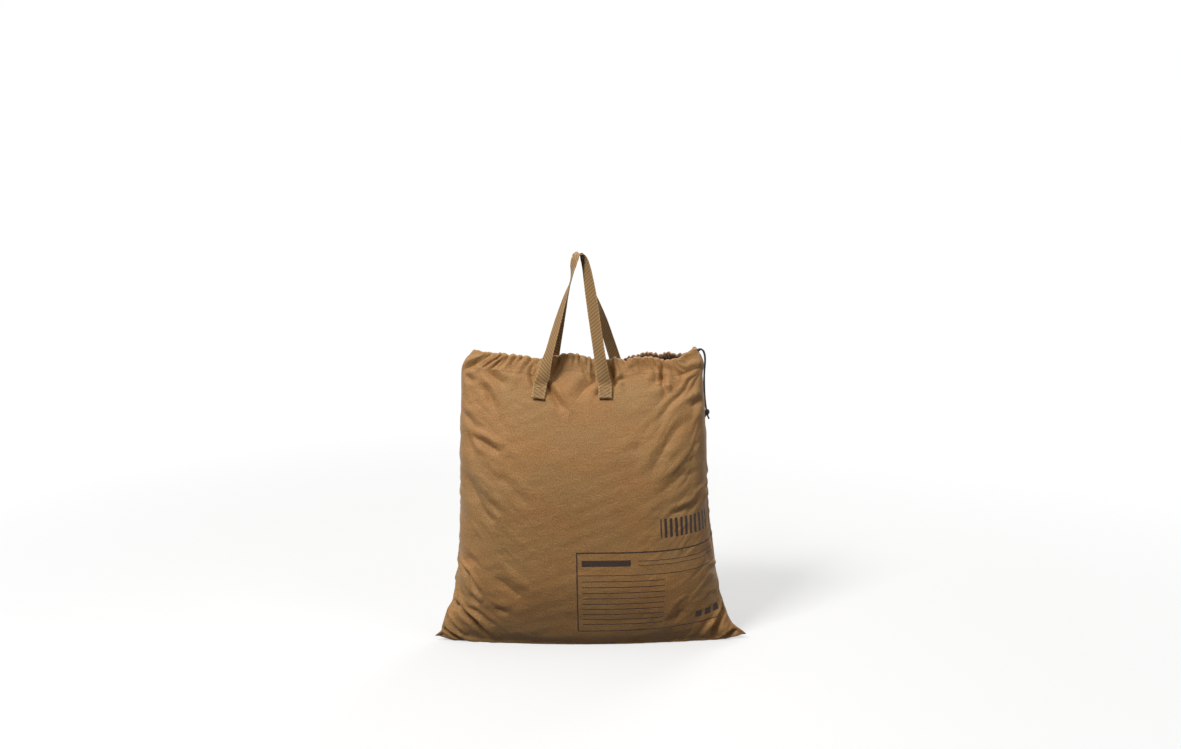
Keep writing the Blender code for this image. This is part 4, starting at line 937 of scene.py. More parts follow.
def waves(place, seed, shortest, longest, heading=0.0, spread=math.pi, count=9):
    """A gentle random unevenness between about -1 and 1, from crossing waves."""
    chance = np.random.default_rng(seed)
    total = np.zeros(place.shape[:-1])
    for _ in range(count):
        angle = heading + chance.uniform(-spread, spread)
        phase = chance.uniform(0, 2 * math.pi)
        pitch = chance.uniform(shortest, longest)
        total += np.sin(
            (place[..., 0] * math.cos(angle) + place[..., 1] * math.sin(angle))
            * 2 * math.pi / pitch + phase)
    return total / math.sqrt(count * 2)


def fold_heights(folds, place):
    """Height of the listed folds at each place on the flat cloth."""
    total = np.zeros(place.shape[:-1])
    for route, half_width, height in folds:
        route = np.array(route)
        length = lengths_along(route)[-1]
        nearest = np.full(total.shape, np.inf)
        along = np.zeros(total.shape)
        upper = np.zeros(total.shape)
        run = 0.0
        for start, end in zip(route, route[1:]):
            leg = end - start
            leg_length = np.linalg.norm(leg)
            offset = place - start
            share = np.clip(offset @ leg / leg_length ** 2, 0, 1)
            gap = np.linalg.norm(offset - share[..., None] * leg, axis=-1)
            closer = gap < nearest
            along = np.where(closer, run + share * leg_length, along)
            above = leg[0] * offset[..., 1] - leg[1] * offset[..., 0]
            upper = np.where(closer, np.sign(above) * math.copysign(1, leg[0]), upper)
            nearest = np.minimum(gap, nearest)
            run += leg_length
        level = FOLD_END_share + (1 - 2 * FOLD_END_share) * along / length
        taper = np.sin(math.pi * level) ** FOLD_END_POWER
        gap = nearest / half_width
        if height > 0:
            total += height * taper * np.exp(-gap ** RIDGE_POWER)
            continue
        lips = np.where(upper > 0, HIGH_LIP_share, LOW_LIP_share)
        lips *= np.exp(-((gap - LIP_PLACE) / LIP_WIDTH) ** 2)
        valley = np.exp(-VALLEY_FALL * gap ** VALLEY_POWER)
        total += FOLD_DEPTH_share * height * taper * (valley - lips)
    return total


def drag_creases(place, seed):
    """Fine, broken creases that fan from the corners, deepest near the side seams."""
    mirrored = np.stack([np.abs(place[..., 0]), place[..., 1]], axis=-1)
    field = waves(mirrored, seed, *DRAG_PITCH, DRAG_HEADING, DRAG_SPREAD)
    broken = ease(DRAG_BREAK_LEVEL + waves(place, seed + 1, *DRAG_BREAK_PITCH))
    outward = ease((mirrored[..., 0] - DRAG_START) / DRAG_REACH)
    return (0.5 * field - np.exp(-np.abs(field) / DRAG_SHARPNESS)) * broken * outward


def gather_heights(place, side, height):
    """Outward height of the small gathers under the mouth."""
    chance = np.random.default_rng(GATHER_SEED + side)
    pitch = FRONT_PLEAT_PITCH if side == FRONT else BACK_PLEAT_PITCH
    edges = [-SEAM_SPAN / 2]
    while edges[-1] < SEAM_SPAN / 2:
        edges.append(edges[-1] + chance.uniform(*pitch))
    edges = np.array(edges)
    middles = (edges[1:] + edges[:-1]) / 2
    strength = chance.uniform(*PLEAT_STRENGTH_shares, len(middles))
    reach = chance.uniform(*PLEAT_REACH, len(middles))
    down = PANEL_LENGTH - place[..., 1]
    tilt = place[..., 0] / (SEAM_SPAN / 2)
    at_mouth = place[..., 0] - PLEAT_FAN_share * tilt * np.abs(tilt) * down
    wave = np.abs(np.sin(math.pi * np.interp(at_mouth, edges, np.arange(len(edges)))))
    fade = ease(1 - down / np.interp(at_mouth, middles, reach))
    corner_reach = SMOOTH_CORNER_END - SMOOTH_CORNER_START
    corner = ease((SMOOTH_CORNER_END - np.abs(at_mouth)) / corner_reach)
    swell = height * np.interp(at_mouth, middles, strength)
    return swell * wave ** PLEAT_ROUNDNESS * fade * corner


def seam_puckers(place, side, normals):
    """How the cloth beside a side seam puckers and wanders, as offsets."""
    offsets = np.zeros(place.shape[:-1] + (3,))
    marks = np.arange(-PUCKER_PITCH, PANEL_LENGTH + 3 * PUCKER_PITCH, PUCKER_PITCH)
    for edge in (-1, 1):
        chance = np.random.default_rng(WANDER_SEED + edge)
        wander = smooth_through(marks, chance.uniform(-1, 1, len(marks)), place[:, 0, 1])[:, 0]
        puckering = np.random.default_rng(PUCKER_SEED + edge + 3 * side)
        heights = puckering.uniform(-1, 1, len(marks))
        steps = marks * PUCKER_STEP_share
        pucker = smooth_through(steps, heights, np.minimum(place[:, 0, 1], steps[-1]))[:, 0]
        inset = SEAM_SPAN / 2 - edge * place[..., 0]
        near = np.exp(-(inset / (2 * PUCKER_REACH)) ** 2)
        reach = SEAM_WANDER + (EAR_WANDER - SEAM_WANDER) * ease(1.5 - place[:, 0, 1] / EAR_HEIGHT)
        offsets[..., 0] += edge * (reach * wander)[:, None] * near
        swell = inset / PUCKER_REACH * np.exp(1 - inset / PUCKER_REACH)
        groove = np.exp(-((inset - SEAM_ALLOWANCE) / (SEAM_ALLOWANCE / 2)) ** 2)
        offsets -= normals * (SEAM_GROOVE * groove)[..., None]
        offsets += normals * (PUCKER_HEIGHT * pucker[:, None] * swell)[..., None]
    return offsets


def sewn_end_plane(node, side):
    """Middle of a sewn end's crease and of its foot, and the way out of the bag. The
    webbing's cut end hangs a little lower than the model's."""
    corners = np.array([tuple(vertex.co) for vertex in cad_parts[node].data.vertices])
    centre = corners.mean(axis=0)
    out = np.linalg.svd(corners - centre)[2][2]
    out = out * math.copysign(1.0, out[1] * side)
    flat = corners - ((corners - centre) @ out)[:, None] * out
    flat = flat[np.argsort(flat[:, 2])]
    crease_z = flat[-1, 2]
    crease = flat[flat[:, 2] > crease_z - 0.001].mean(axis=0)
    foot = flat[flat[:, 2] < crease_z - SEWN_LENGTH / 2].mean(axis=0)
    return crease, foot + unit(foot - crease) * SEWN_TAIL, out


def press_under(points, node, side, thickness):
    """Keep the cloth behind the sewn end of a handle."""
    crease, foot, out = sewn_end_plane(node, side)
    up = unit(crease - foot)
    wide = np.cross(up, out)
    offset = points - (crease + foot) / 2
    beside = np.abs(offset @ wide) - WEBBING_WIDTH / 2
    beyond = np.abs(offset @ up) - (SEWN_LENGTH + SEWN_TAIL) / 2
    near = 1 - ease(np.maximum(beside, beyond) / SEWN_END_FADE)
    depth = offset @ out + WEBBING_THICKNESS / 2 + thickness / 2 + SEWN_END_CLEARANCE
    return points - out * (np.maximum(depth, 0) * near)[..., None]


def drape(start, rest_half_widths):
    """Let the two sewn panels settle as cloth round their smooth shape, and return
    where their points come to rest."""
    rows, columns = start[FRONT].shape[:2]
    number, points, rest, held = {}, [], [], []
    flat_rows = np.linspace(0, PANEL_LENGTH, rows)
    flat_columns = np.linspace(-1, 1, columns)
    for side in (FRONT, BACK):
        number[side] = np.zeros((rows, columns), int)
        for row in range(rows):
            for column in range(columns):
                edge = row == 0 or column in (0, columns - 1)
                if side == BACK and edge:
                    number[side][row, column] = number[FRONT][row, column]
                    continue
                number[side][row, column] = len(points)
                points.append(start[side][row, column])
                across = flat_columns[column] * rest_half_widths[row]
                rest.append((across, side * MM, flat_rows[row]))
                share = row / (rows - 1)
                if row == rows - 1:
                    held.append(1.0)
                elif edge:
                    held.append(EDGE_HOLD)
                else:
                    near_mouth = ease((share - MOUTH_HOLD_START_share) / MOUTH_HOLD_REACH_share)
                    held.append(LOOSE_HOLD + EDGE_HOLD * near_mouth)
    faces = []
    for side in (FRONT, BACK):
        grid = number[side]
        for face in sheet_faces(rows, columns, side == BACK):
            faces.append(tuple(int(grid.flat[index]) for index in face))
    cloth = mesh_piece("settling_cloth", points, faces, [])
    cloth.shape_key_add(name="start")
    flat_key = cloth.shape_key_add(name="flat")
    flat_key.data.foreach_set("co", np.array(rest, np.float32).reshape(-1))
    flat_key.value = 0.0
    group = cloth.vertex_groups.new(name="held")
    for index, weight in enumerate(held):
        group.add([index], weight, "REPLACE")
    modifier = cloth.modifiers.new("cloth", "CLOTH")
    settings = modifier.settings
    for name, value in SETTLING.items():
        setattr(settings, name, value)
    settings.rest_shape_key = flat_key
    modifier.collision_settings.use_collision = False
    scene = bpy.context.scene
    frames = scene.bag_sizes.settle_frames
    modifier.point_cache.frame_end = frames
    for step in range(1, frames + 1):
        scene.frame_set(step)
    settled = cloth.evaluated_get(bpy.context.evaluated_depsgraph_get())
    places = np.zeros(len(points) * 3, np.float32)
    settled.data.vertices.foreach_get("co", places)
    places = places.reshape(-1, 3).astype(float)
    scene.frame_set(1)
    mesh = cloth.data
    bpy.data.objects.remove(cloth, do_unlink=True)
    bpy.data.meshes.remove(mesh)
    return {side: places[number[side]] for side in (FRONT, BACK)}


def settled_panels(sizes):
    """Both panels after settling, kept near their smooth shape."""
    columns = np.linspace(-1, 1, sizes.settle_columns)
    shares = np.linspace(0, 1, sizes.settle_rows)
    smooth = {side: panel_surface(side, shares, columns) for side in (FRONT, BACK)}
    place = flat_places(columns, shares)
    inset = SEAM_SPAN / 2 - np.abs(place[..., 0])
    calm = np.minimum(1, inset / START_CALM_SIDE) * ease(shares / START_CALM_FOOT_share)[:, None]
    start, normals = {}, {}
    for side in (FRONT, BACK):
        normals[side] = grid_normals(smooth[side], side)
        uneven = waves(place, START_SEED + side, *START_SWELL_PITCH) * START_SWELL
        start[side] = smooth[side] + normals[side] * (uneven * calm)[..., None]
    widths = []
    for row in range(len(shares)):
        arc = sum(lengths_along(smooth[side][row])[-1] for side in (FRONT, BACK)) / 2
        widths.append(min(SEAM_SPAN, arc * (1 + sizes.slack_share)) / 2)
    settled = drape(start, widths)
    for side in (FRONT, BACK):
        moved = (settled[side] - smooth[side]) * ease(inset / SETTLED_SEAM_REACH)[..., None]
        out = (moved * normals[side]).sum(axis=-1)
        sideways = moved - normals[side] * out[..., None]
        kept = np.clip(out, -sizes.sink_limit, sizes.swell_limit)
        settled[side] = smooth[side] + sideways * sizes.slide_share
        settled[side] += normals[side] * kept[..., None]
    return shares, columns, settled


def finer(points, shares, columns, fine_shares, fine_columns):
    """The panel's grid read on a finer grid of rows and columns."""
    rows = smooth_through(
        shares, points.reshape(len(shares), -1), fine_shares, even=True)
    rows = rows.reshape(len(fine_shares), len(columns), 3).transpose(1, 0, 2)
    fine = smooth_through(columns, rows.reshape(len(columns), -1), fine_columns, even=True)
    return fine.reshape(len(fine_columns), len(fine_shares), 3).transpose(1, 0, 2)


def dressed_panel(side, settled, sizes):
    """Outer cloth of one panel with its gathers, folds and puckers, and the cloth
    that turns over the cord and back down inside."""
    shares, columns, points = settled
    low = np.linspace(0, FINE_ROWS_START_share, sizes.low_rows)
    high = np.linspace(FINE_ROWS_START_share, 1, sizes.high_rows)
    fine_shares = np.concatenate([low, high[1:]])
    fine_columns = np.linspace(-1, 1, sizes.fine_columns)
    body = finer(points[side], shares, columns, fine_shares, fine_columns)
    place = flat_places(fine_columns, fine_shares)
    normals = grid_normals(body, side)
    gathers = gather_heights(place, side, sizes.gather_height)
    folds = fold_heights(FRONT_FOLDS if side == FRONT else BACK_FOLDS, place)
    small = waves(place, SWELL_SEED + side, *SWELL_PITCH) * sizes.unevenness
    below_gathers = ease((CREASES_TOP - place[..., 1]) / CREASES_FADE)
    small += drag_creases(place, CREASE_SEED + side) * sizes.crease_depth * below_gathers
    inset = SEAM_SPAN / 2 - np.abs(place[..., 0])
    calm = ease(inset / EDGE_CALM) * ease(place[..., 1] / EDGE_CALM)
    relief = (folds + small) * calm
    outer = body + normals * (relief + gathers)[..., None] + seam_puckers(place, side, normals)
    ripple = gathers / sizes.gather_height * RIPPLE_FROM_GATHERS - 0.5
    ripple += waves(place, RIPPLE_SEED + side, *MOUTH_RIPPLE_PITCH) * RIPPLE_FROM_CHANCE
    near_mouth = ease((place[..., 1] - MOUTH_RIPPLE_START) / MOUTH_RIPPLE_REACH)
    outer[..., 2] += MOUTH_EDGE_RIPPLE * ripple * near_mouth
    corner_gap = np.hypot(inset, place[..., 1])
    outer[..., 2] += EAR_CURL * ease(1 - corner_gap / EAR_CURL_REACH)
    prefix = "front" if side == FRONT else "back"
    for word in ("left", "right"):
        node = f"{prefix}_handle_{word}_sewn_end"
        outer = press_under(outer, node, side, sizes.cloth_thickness)
    outer[..., 2] = np.maximum(outer[..., 2], sizes.cloth_thickness / 2)
    top = normals[-1].copy()
    top[:, 2] = 0
    top = unit(top)
    rows, heights = [outer], list(fine_shares * PANEL_LENGTH)
    width = CASING_WIDTH + CROWN_SPREAD_share * gathers[-1][:, None]
    for angle in np.radians(CROWN_ANGLES_DEG):
        lean = (1 - math.cos(angle)) / 2
        row = outer[-1] - top * width * lean
        row[:, 2] += CASING_CROWN * math.sin(angle)
        rows.append(row[None])
        heights.append(PANEL_LENGTH + CASING_WIDTH * lean)
    closing_start, closing_reach = INNER_LEG_CLOSING
    for drop in INNER_LEG_DROPS:
        level = 1 - drop / PANEL_LENGTH
        index = np.searchsorted(fine_shares, level)
        part = (level - fine_shares[index - 1]) / (fine_shares[index] - fine_shares[index - 1])
        beside = outer[index - 1] * (1 - part) + outer[index] * part
        hollow = 1 - ease((drop - closing_start) / closing_reach)
        level_places = np.stack([place[-1, :, 0], np.full(len(top), drop)], axis=-1)
        crumple = waves(level_places, CASING_SEED, *CASING_CRUMPLE_PITCH)[:, None] + 0.5
        gap = INNER_LEG_GAP + (width - INNER_LEG_GAP) * hollow + CASING_CRUMPLE * crumple * hollow
        rows.append((beside - top * gap)[None])
        heights.append(PANEL_LENGTH + CASING_WIDTH + drop)
    return np.concatenate(rows), np.array(heights)[:, None], outer, place, normals


def stitch_shapes(centres, directions, outs, length, radius):
    """Points and faces of many small stitches, each a spindle half sunk in the cloth."""
    points, faces = [], []
    for centre, direction, out in zip(centres, directions, outs):
        across = np.cross(direction, out)
        first = len(points)
        for share, fat in STITCH_shares:
            lift = radius * (STITCH_LIFT_share - STITCH_ARCH_share * share * share)
            for turn in range(STITCH_SIDES):
                angle = 2 * math.pi * turn / STITCH_SIDES
                points.append(
                    centre + direction * share * length + out * lift
                    + (across * math.cos(angle) + out * math.sin(angle)) * radius * fat)
        for face in ring_faces(len(STITCH_shares), STITCH_SIDES):
            faces.append(tuple(first + index for index in face))
    return points, faces


def stitches_along(line, outs, pitch):
    """Centres, directions and outward vectors of stitches along a line of points."""
    line = np.array(line, float)
    run = lengths_along(line)
    count = max(int(run[-1] / pitch), 1)
    middles = (np.arange(count) + 0.5) * run[-1] / count
    centres = read_along(line, run, middles)
    directions = read_along(line, run, middles + pitch / 4) - centres
    directions /= np.maximum(np.linalg.norm(directions, axis=1, keepdims=True), 1e-9)
    ways = read_along(outs, run, middles)
    ways -= directions * (ways * directions).sum(axis=1, keepdims=True)
    return centres, directions, unit(ways)


# Tubes and ribbons

def carried_frames(points):
    """Two unit vectors across a line at each of its points, turning as little as can be."""
    along = unit(np.gradient(points, axis=0))
    guide = np.array((0.0, 1.0, 0.0)) if abs(along[0, 1]) < 0.8 else np.array((1.0, 0.0, 0.0))
    first = []
    for direction in along:
        guide = unit(guide - direction * (guide @ direction))
        first.append(guide)
    first = np.array(first)
    return first, np.cross(along, first)


def tube(name, route, radius, materials, spacing=0.0012, sides=12, ends=(1.0, 1.0)):
    """A round cord along a route, and the line that it follows."""
    line = evenly_along(route, spacing)
    first, second = carried_frames(line)
    run = lengths_along(line)
    angles = np.arange(sides) / sides * 2 * math.pi
    fat = np.full(len(line), radius)
    fat[0], fat[-1] = radius * ends[0], radius * ends[1]
    turned = angles[None, :, None]
    ring = first[:, None] * np.cos(turned) + second[:, None] * np.sin(turned)
    points = line[:, None] + ring * fat[:, None, None]
    piece = mesh_piece(name, points, ring_faces(len(line), sides), materials)
    store(piece, "cord_mm", points.shape, run[:, None], angles * radius)
    return piece, line


def joined(name, pieces):
    """The pieces as one object."""
    for item in bpy.context.selected_objects:
        item.select_set(False)
    for piece in pieces:
        piece.select_set(True)
    bpy.context.view_layer.objects.active = pieces[0]
    bpy.ops.object.join()
    pieces[0].name = name
    pieces[0].data.name = name
    return pieces[0]


def end_before(tail):
    """Where the cord in the casing stops, just short of a tail."""
    start = np.array(tail[0])
    return start - unit(np.array(tail[1]) - start) * CORD_GAP


def casing_route():
    """The cord's way through the front casing, round the left corner and back."""
    columns = np.linspace(-CASING_REACH_share, CASING_REACH_share, CASING_POINTS)
    shares = np.array([CASING_FOOT_share, 1 - CORD_DEPTH_IN_CASING / PANEL_LENGTH])
    lines = {}
    for side in (FRONT, BACK):
        near = panel_surface(side, shares, columns)
        out = grid_normals(near, side)[-1]
        out[:, 2] = 0
        lines[side] = near[-1] - unit(out) * CASING_WIDTH / 2
    corner = (lines[FRONT][0] + lines[BACK][0]) / 2 + np.array((CORD_DIAMETER, 0, 0))
    return np.concatenate([
        [end_before(FRONT_TAIL)], np.array(FRONT_EXIT)[::-1], lines[FRONT][::-1][1:-1],
        [corner], lines[BACK][1:-1], np.array(BACK_EXIT), [end_before(BACK_TAIL)],
    ])


def knot_routes():
    """Routes of the knot: both cords wound together, and two short ends below."""
    centre = (np.array(FRONT_TAIL[-1]) + np.array(BACK_TAIL[-1])) / 2
    radius = CORD_DIAMETER / 2
    wide = radius * KNOT_RADIUS_share
    turns = np.linspace(0, 2 * math.pi * KNOT_TURNS, KNOT_POINTS)
    wind = np.stack([
        np.cos(turns) * wide, np.sin(turns) * wide,
        -radius * KNOT_TOP_share - (KNOT_HEIGHT - wide) * turns / turns[-1],
    ], axis=1) + centre
    ends = []
    for lean, start in KNOT_ENDS:
        ends.append(np.array((
            (start, 0.0, -KNOT_HEIGHT + radius),
            (start + lean * 0.004, 0.0004, -KNOT_HEIGHT - 0.003),
            (start + lean * 0.010, 0.0006, -KNOT_HEIGHT - KNOT_SKIRT),
        )) + centre)
    return wind, np.array(KNOT_OVER) + centre, ends


WEBBING_EDGE_shares = (
    (-1.0, 0.30), (-0.955, 0.92), (-0.87, 1.0), (-0.78, 0.80), (-0.55, 0.82), (-0.28, 0.84),
    (0.0, 0.84), (0.28, 0.84), (0.55, 0.82), (0.78, 0.80), (0.87, 1.0), (0.955, 0.92),
    (1.0, 0.30),
)


def handle_rows(side, table, tabs, ends):
    """Middle and half-width vector of each row of a handle, from foot to foot."""
    hinge_z = max(ends[0][0][2], ends[1][0][2])
    faces_y = [(crease + out * WEBBING_THICKNESS / 2)[1] for crease, _, out in ends]
    base_y = side * max(side * depth for depth in faces_y) - side * WEBBING_THICKNESS / 2
    clear = CREASE_CLEARANCE / (HANDLE_PEAK - hinge_z)
    places, headings = [], []
    for across, rise, depth, heading in table:
        lifted = clear + rise * (1 - clear)
        places.append((
            tabs[0] + (tabs[1] - tabs[0]) * across,
            base_y + (side * PEAK_SEPARATION / 2 - base_y) * depth,
            hinge_z + (HANDLE_PEAK - WEBBING_THICKNESS / 2 - hinge_z) * lifted,
        ))
        headings.append(math.radians(heading))
    places = np.array(places)
    along = unit(np.gradient(places, axis=0))
    wide = np.stack([np.cos(headings), np.sin(headings), np.zeros(len(places))], axis=1)
    wide -= along * (wide * along).sum(axis=1, keepdims=True)
    half = unit(wide) * WEBBING_WIDTH / 2
    middles, halves = [], []
    for (crease, foot, out), order in ((ends[0], 1), (ends[1], -1)):
        square = np.cross(unit(crease - foot), out)
        square *= math.copysign(WEBBING_WIDTH / 2, square[0])
        crease_half = np.array((WEBBING_WIDTH ** 2 / 4 / square[0], 0.0, 0.0))
        rows = [foot, foot + (crease - foot) * 0.3, foot + (crease - foot) * 0.6, crease]
        widths = [square, square, square * 0.6 + crease_half * 0.4, crease_half]
        middles.append(rows[::order])
        halves.append(widths[::order])
    return (
        np.concatenate([middles[0], places[1:-1], middles[1]]),
        np.concatenate([halves[0], half[1:-1], halves[1]]),
    )


def ribbon(name, middles, halves, materials):
    """Webbing with thick edges along rows of middles and half-width vectors."""
    run = lengths_along(middles)
    marks = np.linspace(0, run[-1], int(run[-1] / RIBBON_SPACING) + 1)
    middle = smooth_through(run, middles, marks, even=True)
    half = smooth_through(run, halves, marks)
    out = unit(np.cross(half, unit(np.gradient(middle, axis=0))))
    section = list(WEBBING_EDGE_shares)
    section += [(across, -thick) for across, thick in reversed(WEBBING_EDGE_shares)]
    points = np.stack([
        middle + half * across + out * thick * WEBBING_THICKNESS / 2 for across, thick in section
    ], axis=1)
    piece = mesh_piece(name, points, ring_faces(len(marks), len(section)), materials)
    across = np.array(section)[:, 0] * WEBBING_WIDTH / 2
    store(piece, "webbing_mm", points.shape, marks[:, None], across)
    return piece


# Sizes and colours that a user would change

class BagSizes(bpy.types.PropertyGroup):
    cloth_thickness: FloatProperty(
        name="Cloth", description="Thickness of the coated cloth", default=0.0008, unit="LENGTH")
    gather_height: FloatProperty(
        name="Gathers", description="Height of the gathers at the mouth", default=0.0056, unit="LENGTH")
    unevenness: FloatProperty(
        name="Unevenness", description="Height of the cloth's small random swells",
        default=0.0004, unit="LENGTH")
    crease_depth: FloatProperty(
        name="Creases", description="Depth of the fine creases that fan from the corners",
        default=0.0014, unit="LENGTH")
    slack_share: FloatProperty(
        name="Slack", description="Cloth to spare across the bag while it settles, as a share",
        default=0.07, subtype="FACTOR")
    sink_limit: FloatProperty(
        name="Sink limit", description="How far the cloth may sink while it settles",
        default=0.0020, unit="LENGTH")
    swell_limit: FloatProperty(
        name="Swell limit", description="How far the cloth may swell while it settles",
        default=0.0090, unit="LENGTH")
    slide_share: FloatProperty(
        name="Slide", description="Share of its way along the surface that the settling cloth keeps",
        default=0.15, subtype="FACTOR")
    settle_frames: IntProperty(
        name="Settling", description="Steps for which the cloth settles", default=22)
    settle_columns: IntProperty(
        name="Settling columns", description="Points across each panel while it settles", default=89)
    settle_rows: IntProperty(
        name="Settling rows", description="Points up each panel while it settles", default=85)
    fine_columns: IntProperty(
        name="Columns", description="Points across each finished panel", default=275)
    low_rows: IntProperty(
        name="Low rows", description="Points up the lower part of a finished panel", default=205)
    high_rows: IntProperty(
        name="High rows", description="Points up the gathered part of a finished panel", default=46)
    stitch_length: FloatProperty(
        name="Stitch", description="Length of one stitch", default=0.0042, unit="LENGTH")
    thread_radius: FloatProperty(
        name="Thread radius", description="Half the sewing thread's thickness",
        default=0.00058, unit="LENGTH")


class Finishes(bpy.types.PropertyGroup):
    cloth: StringProperty(
        name="Cloth", description="sRGB hex of the coated Oxford cloth", default="AA7E4C")
    # A dark colour for the cloth's back, as painted shade of the bag's inside and its turned-in casing
    back_colour_and_painted_shade: StringProperty(
        name="Cloth back", description="sRGB hex of the cloth's coated back", default="4E3A24")
    sofa_cloth: StringProperty(
        name="Sofa cloth", description="sRGB hex of the sofa's cover", default="97744A")
    ink: StringProperty(
        name="Ink", description="sRGB hex of the printed panel", default="33221A")
    webbing: StringProperty(
        name="Webbing", description="sRGB hex of the handles", default="A27F53")
    thread: StringProperty(
        name="Thread", description="sRGB hex of the handles' sewing thread", default="C8AC80")
    hem_thread: StringProperty(
        name="Hem thread", description="sRGB hex of the hem's sewing thread", default="936D3F")
    cord: StringProperty(
        name="Cord", description="sRGB hex of the drawcord", default="17161E")
    film: StringProperty(
        name="Film", description="sRGB hex of the air bladders", default="C4C8CA")
    valve: StringProperty(
        name="Valve", description="sRGB hex of the valve base and cap", default="26262A")
    insert: StringProperty(
        name="Insert", description="sRGB hex of the valve insert", default="CDCBC4")
    flap: StringProperty(
        name="Flap", description="sRGB hex of the silicone flap", default="B9B4A8")
    zip_tape: StringProperty(
        name="Zip tape", description="sRGB hex of the zip tape", default="453727")
    zip_metal: StringProperty(
        name="Zip metal", description="sRGB hex of the slider and pull", default="A7A39B")
    floor: StringProperty(
        name="Floor", description="sRGB hex of the floor as it is seen", default="F2F2F0")
    floor_bounce: StringProperty(
        name="Floor bounce", description="sRGB hex of the floor for the light that it throws back",
        default="1C1C1E")


# Operators

class PlaceCamera(bpy.types.Operator):
    """Place the camera where the photograph was taken from"""
    bl_idname = "packed_sofa.place_camera"
    bl_label = "Camera"

    def execute(self, context):
        camera = bpy.data.cameras.new("studio_camera")
        camera.sensor_width = SENSOR_WIDTH
        camera.lens = SENSOR_WIDTH * FOCAL_PIXELS / IMAGE_WIDTH
        holder = bpy.data.objects.new("studio_camera", camera)
        context.scene.collection.objects.link(holder)
        pitch, yaw = math.radians(CAMERA_PITCH_DEG), math.radians(CAMERA_YAW_DEG)
        ahead = Vector((
            math.sin(yaw) * math.cos(pitch), math.cos(yaw) * math.cos(pitch), -math.sin(pitch)))
        level = ahead.to_track_quat("-Z", "Y")
        roll = Quaternion((0.0, 0.0, 1.0), math.radians(CAMERA_ROLL_DEG))
        holder.matrix_world = Matrix.LocRotScale(Vector(CAMERA_PLACE), level @ roll, None)
        context.scene.camera = holder
        return {"FINISHED"}


class MakeCord(bpy.types.Operator):
    """Make the drawcord: through the casing, down its two tails and into the knot"""
    bl_idname = "packed_sofa.make_cord"
    bl_label = "Drawcord"

    def execute(self, context):
        cord = braided_cord(context.scene.finishes.cord)
        radius = CORD_DIAMETER / 2
        casing, _ = tube("drawcord_through_casing", casing_route(), radius, [cord])
        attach(casing, "bag")
        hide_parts("drawcord_in_casing")
        wind, over, ends = knot_routes()
        parts = [tube("knot_wind", wind, radius, [cord], sides=10)[0]]
        parts.append(tube("knot_over", over, radius * KNOT_OVER_share, [cord], sides=10)[0])
        for index, route in enumerate(ends):
            parts.append(tube(
                f"knot_end_{index}", route, radius * KNOT_END_share, [cord],
                ends=(1.0, KNOT_END_FLARE))[0])
        knot = joined("tied_knot", parts)
        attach(knot, "bag")
        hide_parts("cord_knot")
        for word, route in (("front", FRONT_TAIL), ("back", BACK_TAIL)):
            tail, line = tube(f"drawcord_tail_{word}", route, radius, [cord])
            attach(tail, "bag")
            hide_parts(f"cord_tail_{word}")
        return {"FINISHED"}


class MakeBag(bpy.types.Operator):
    """Make the bag's two panels of coated Oxford cloth, with their hem stitching"""
    bl_idname = "packed_sofa.make_bag"
    bl_label = "Bag"

    def execute(self, context):
        sizes, finishes = context.scene.bag_sizes, context.scene.finishes
        printed = oxford_cloth("coated_oxford_cloth_printed", finishes.cloth, finishes.ink)
        plain = oxford_cloth("coated_oxford_cloth", finishes.cloth)
        inner = oxford_cloth("coated_oxford_back_painted_shade", finishes.back_colour_and_painted_shade, coated_back=True)
        thread = sewing_thread("bonded_polyester_hem_thread", finishes.hem_thread)
        settled = settled_panels(sizes)
        for side, word, cloth in ((FRONT, "front", printed), (BACK, "back", plain)):
            grid, heights, outer, place, normals = dressed_panel(side, settled, sizes)
            rows, columns = grid.shape[:2]
            panel = mesh_piece(
                f"bag_{word}_cloth", grid, sheet_faces(rows, columns, side == BACK), [cloth, inner])
            # Past its crown, the turned-in casing takes the dark back colour: painted shade inside the
            # mouth
            use_second_material(panel, (len(outer) + len(CROWN_ANGLES_DEG) - 1) * (columns - 1))
            store(panel, "cloth_mm", grid.shape, place[0, :, 0], heights)
            thick = panel.modifiers.new("thickness", "SOLIDIFY")
            thick.thickness = sizes.cloth_thickness
            thick.offset = 0.0
            # The inside face takes the dark back colour too: painted shade
            thick.material_offset = 1
            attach(panel, "bag")
            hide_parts(f"bag_{word}_panel")
            row = int(np.argmin(np.abs(place[:, 0, 1] - (PANEL_LENGTH - CASING_DROP * HEM_LINE_share))))
            line = outer[row] + normals[row] * sizes.cloth_thickness / 2
            pitch = sizes.stitch_length * HEM_PITCH_share
            shapes = stitches_along(line[3:-3], normals[row][3:-3], pitch)
            points, faces = stitch_shapes(*shapes, sizes.stitch_length, sizes.thread_radius)
            seam = mesh_piece(f"{word}_hem_stitching", points, faces, [thread])
            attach(seam, "bag")
        return {"FINISHED"}


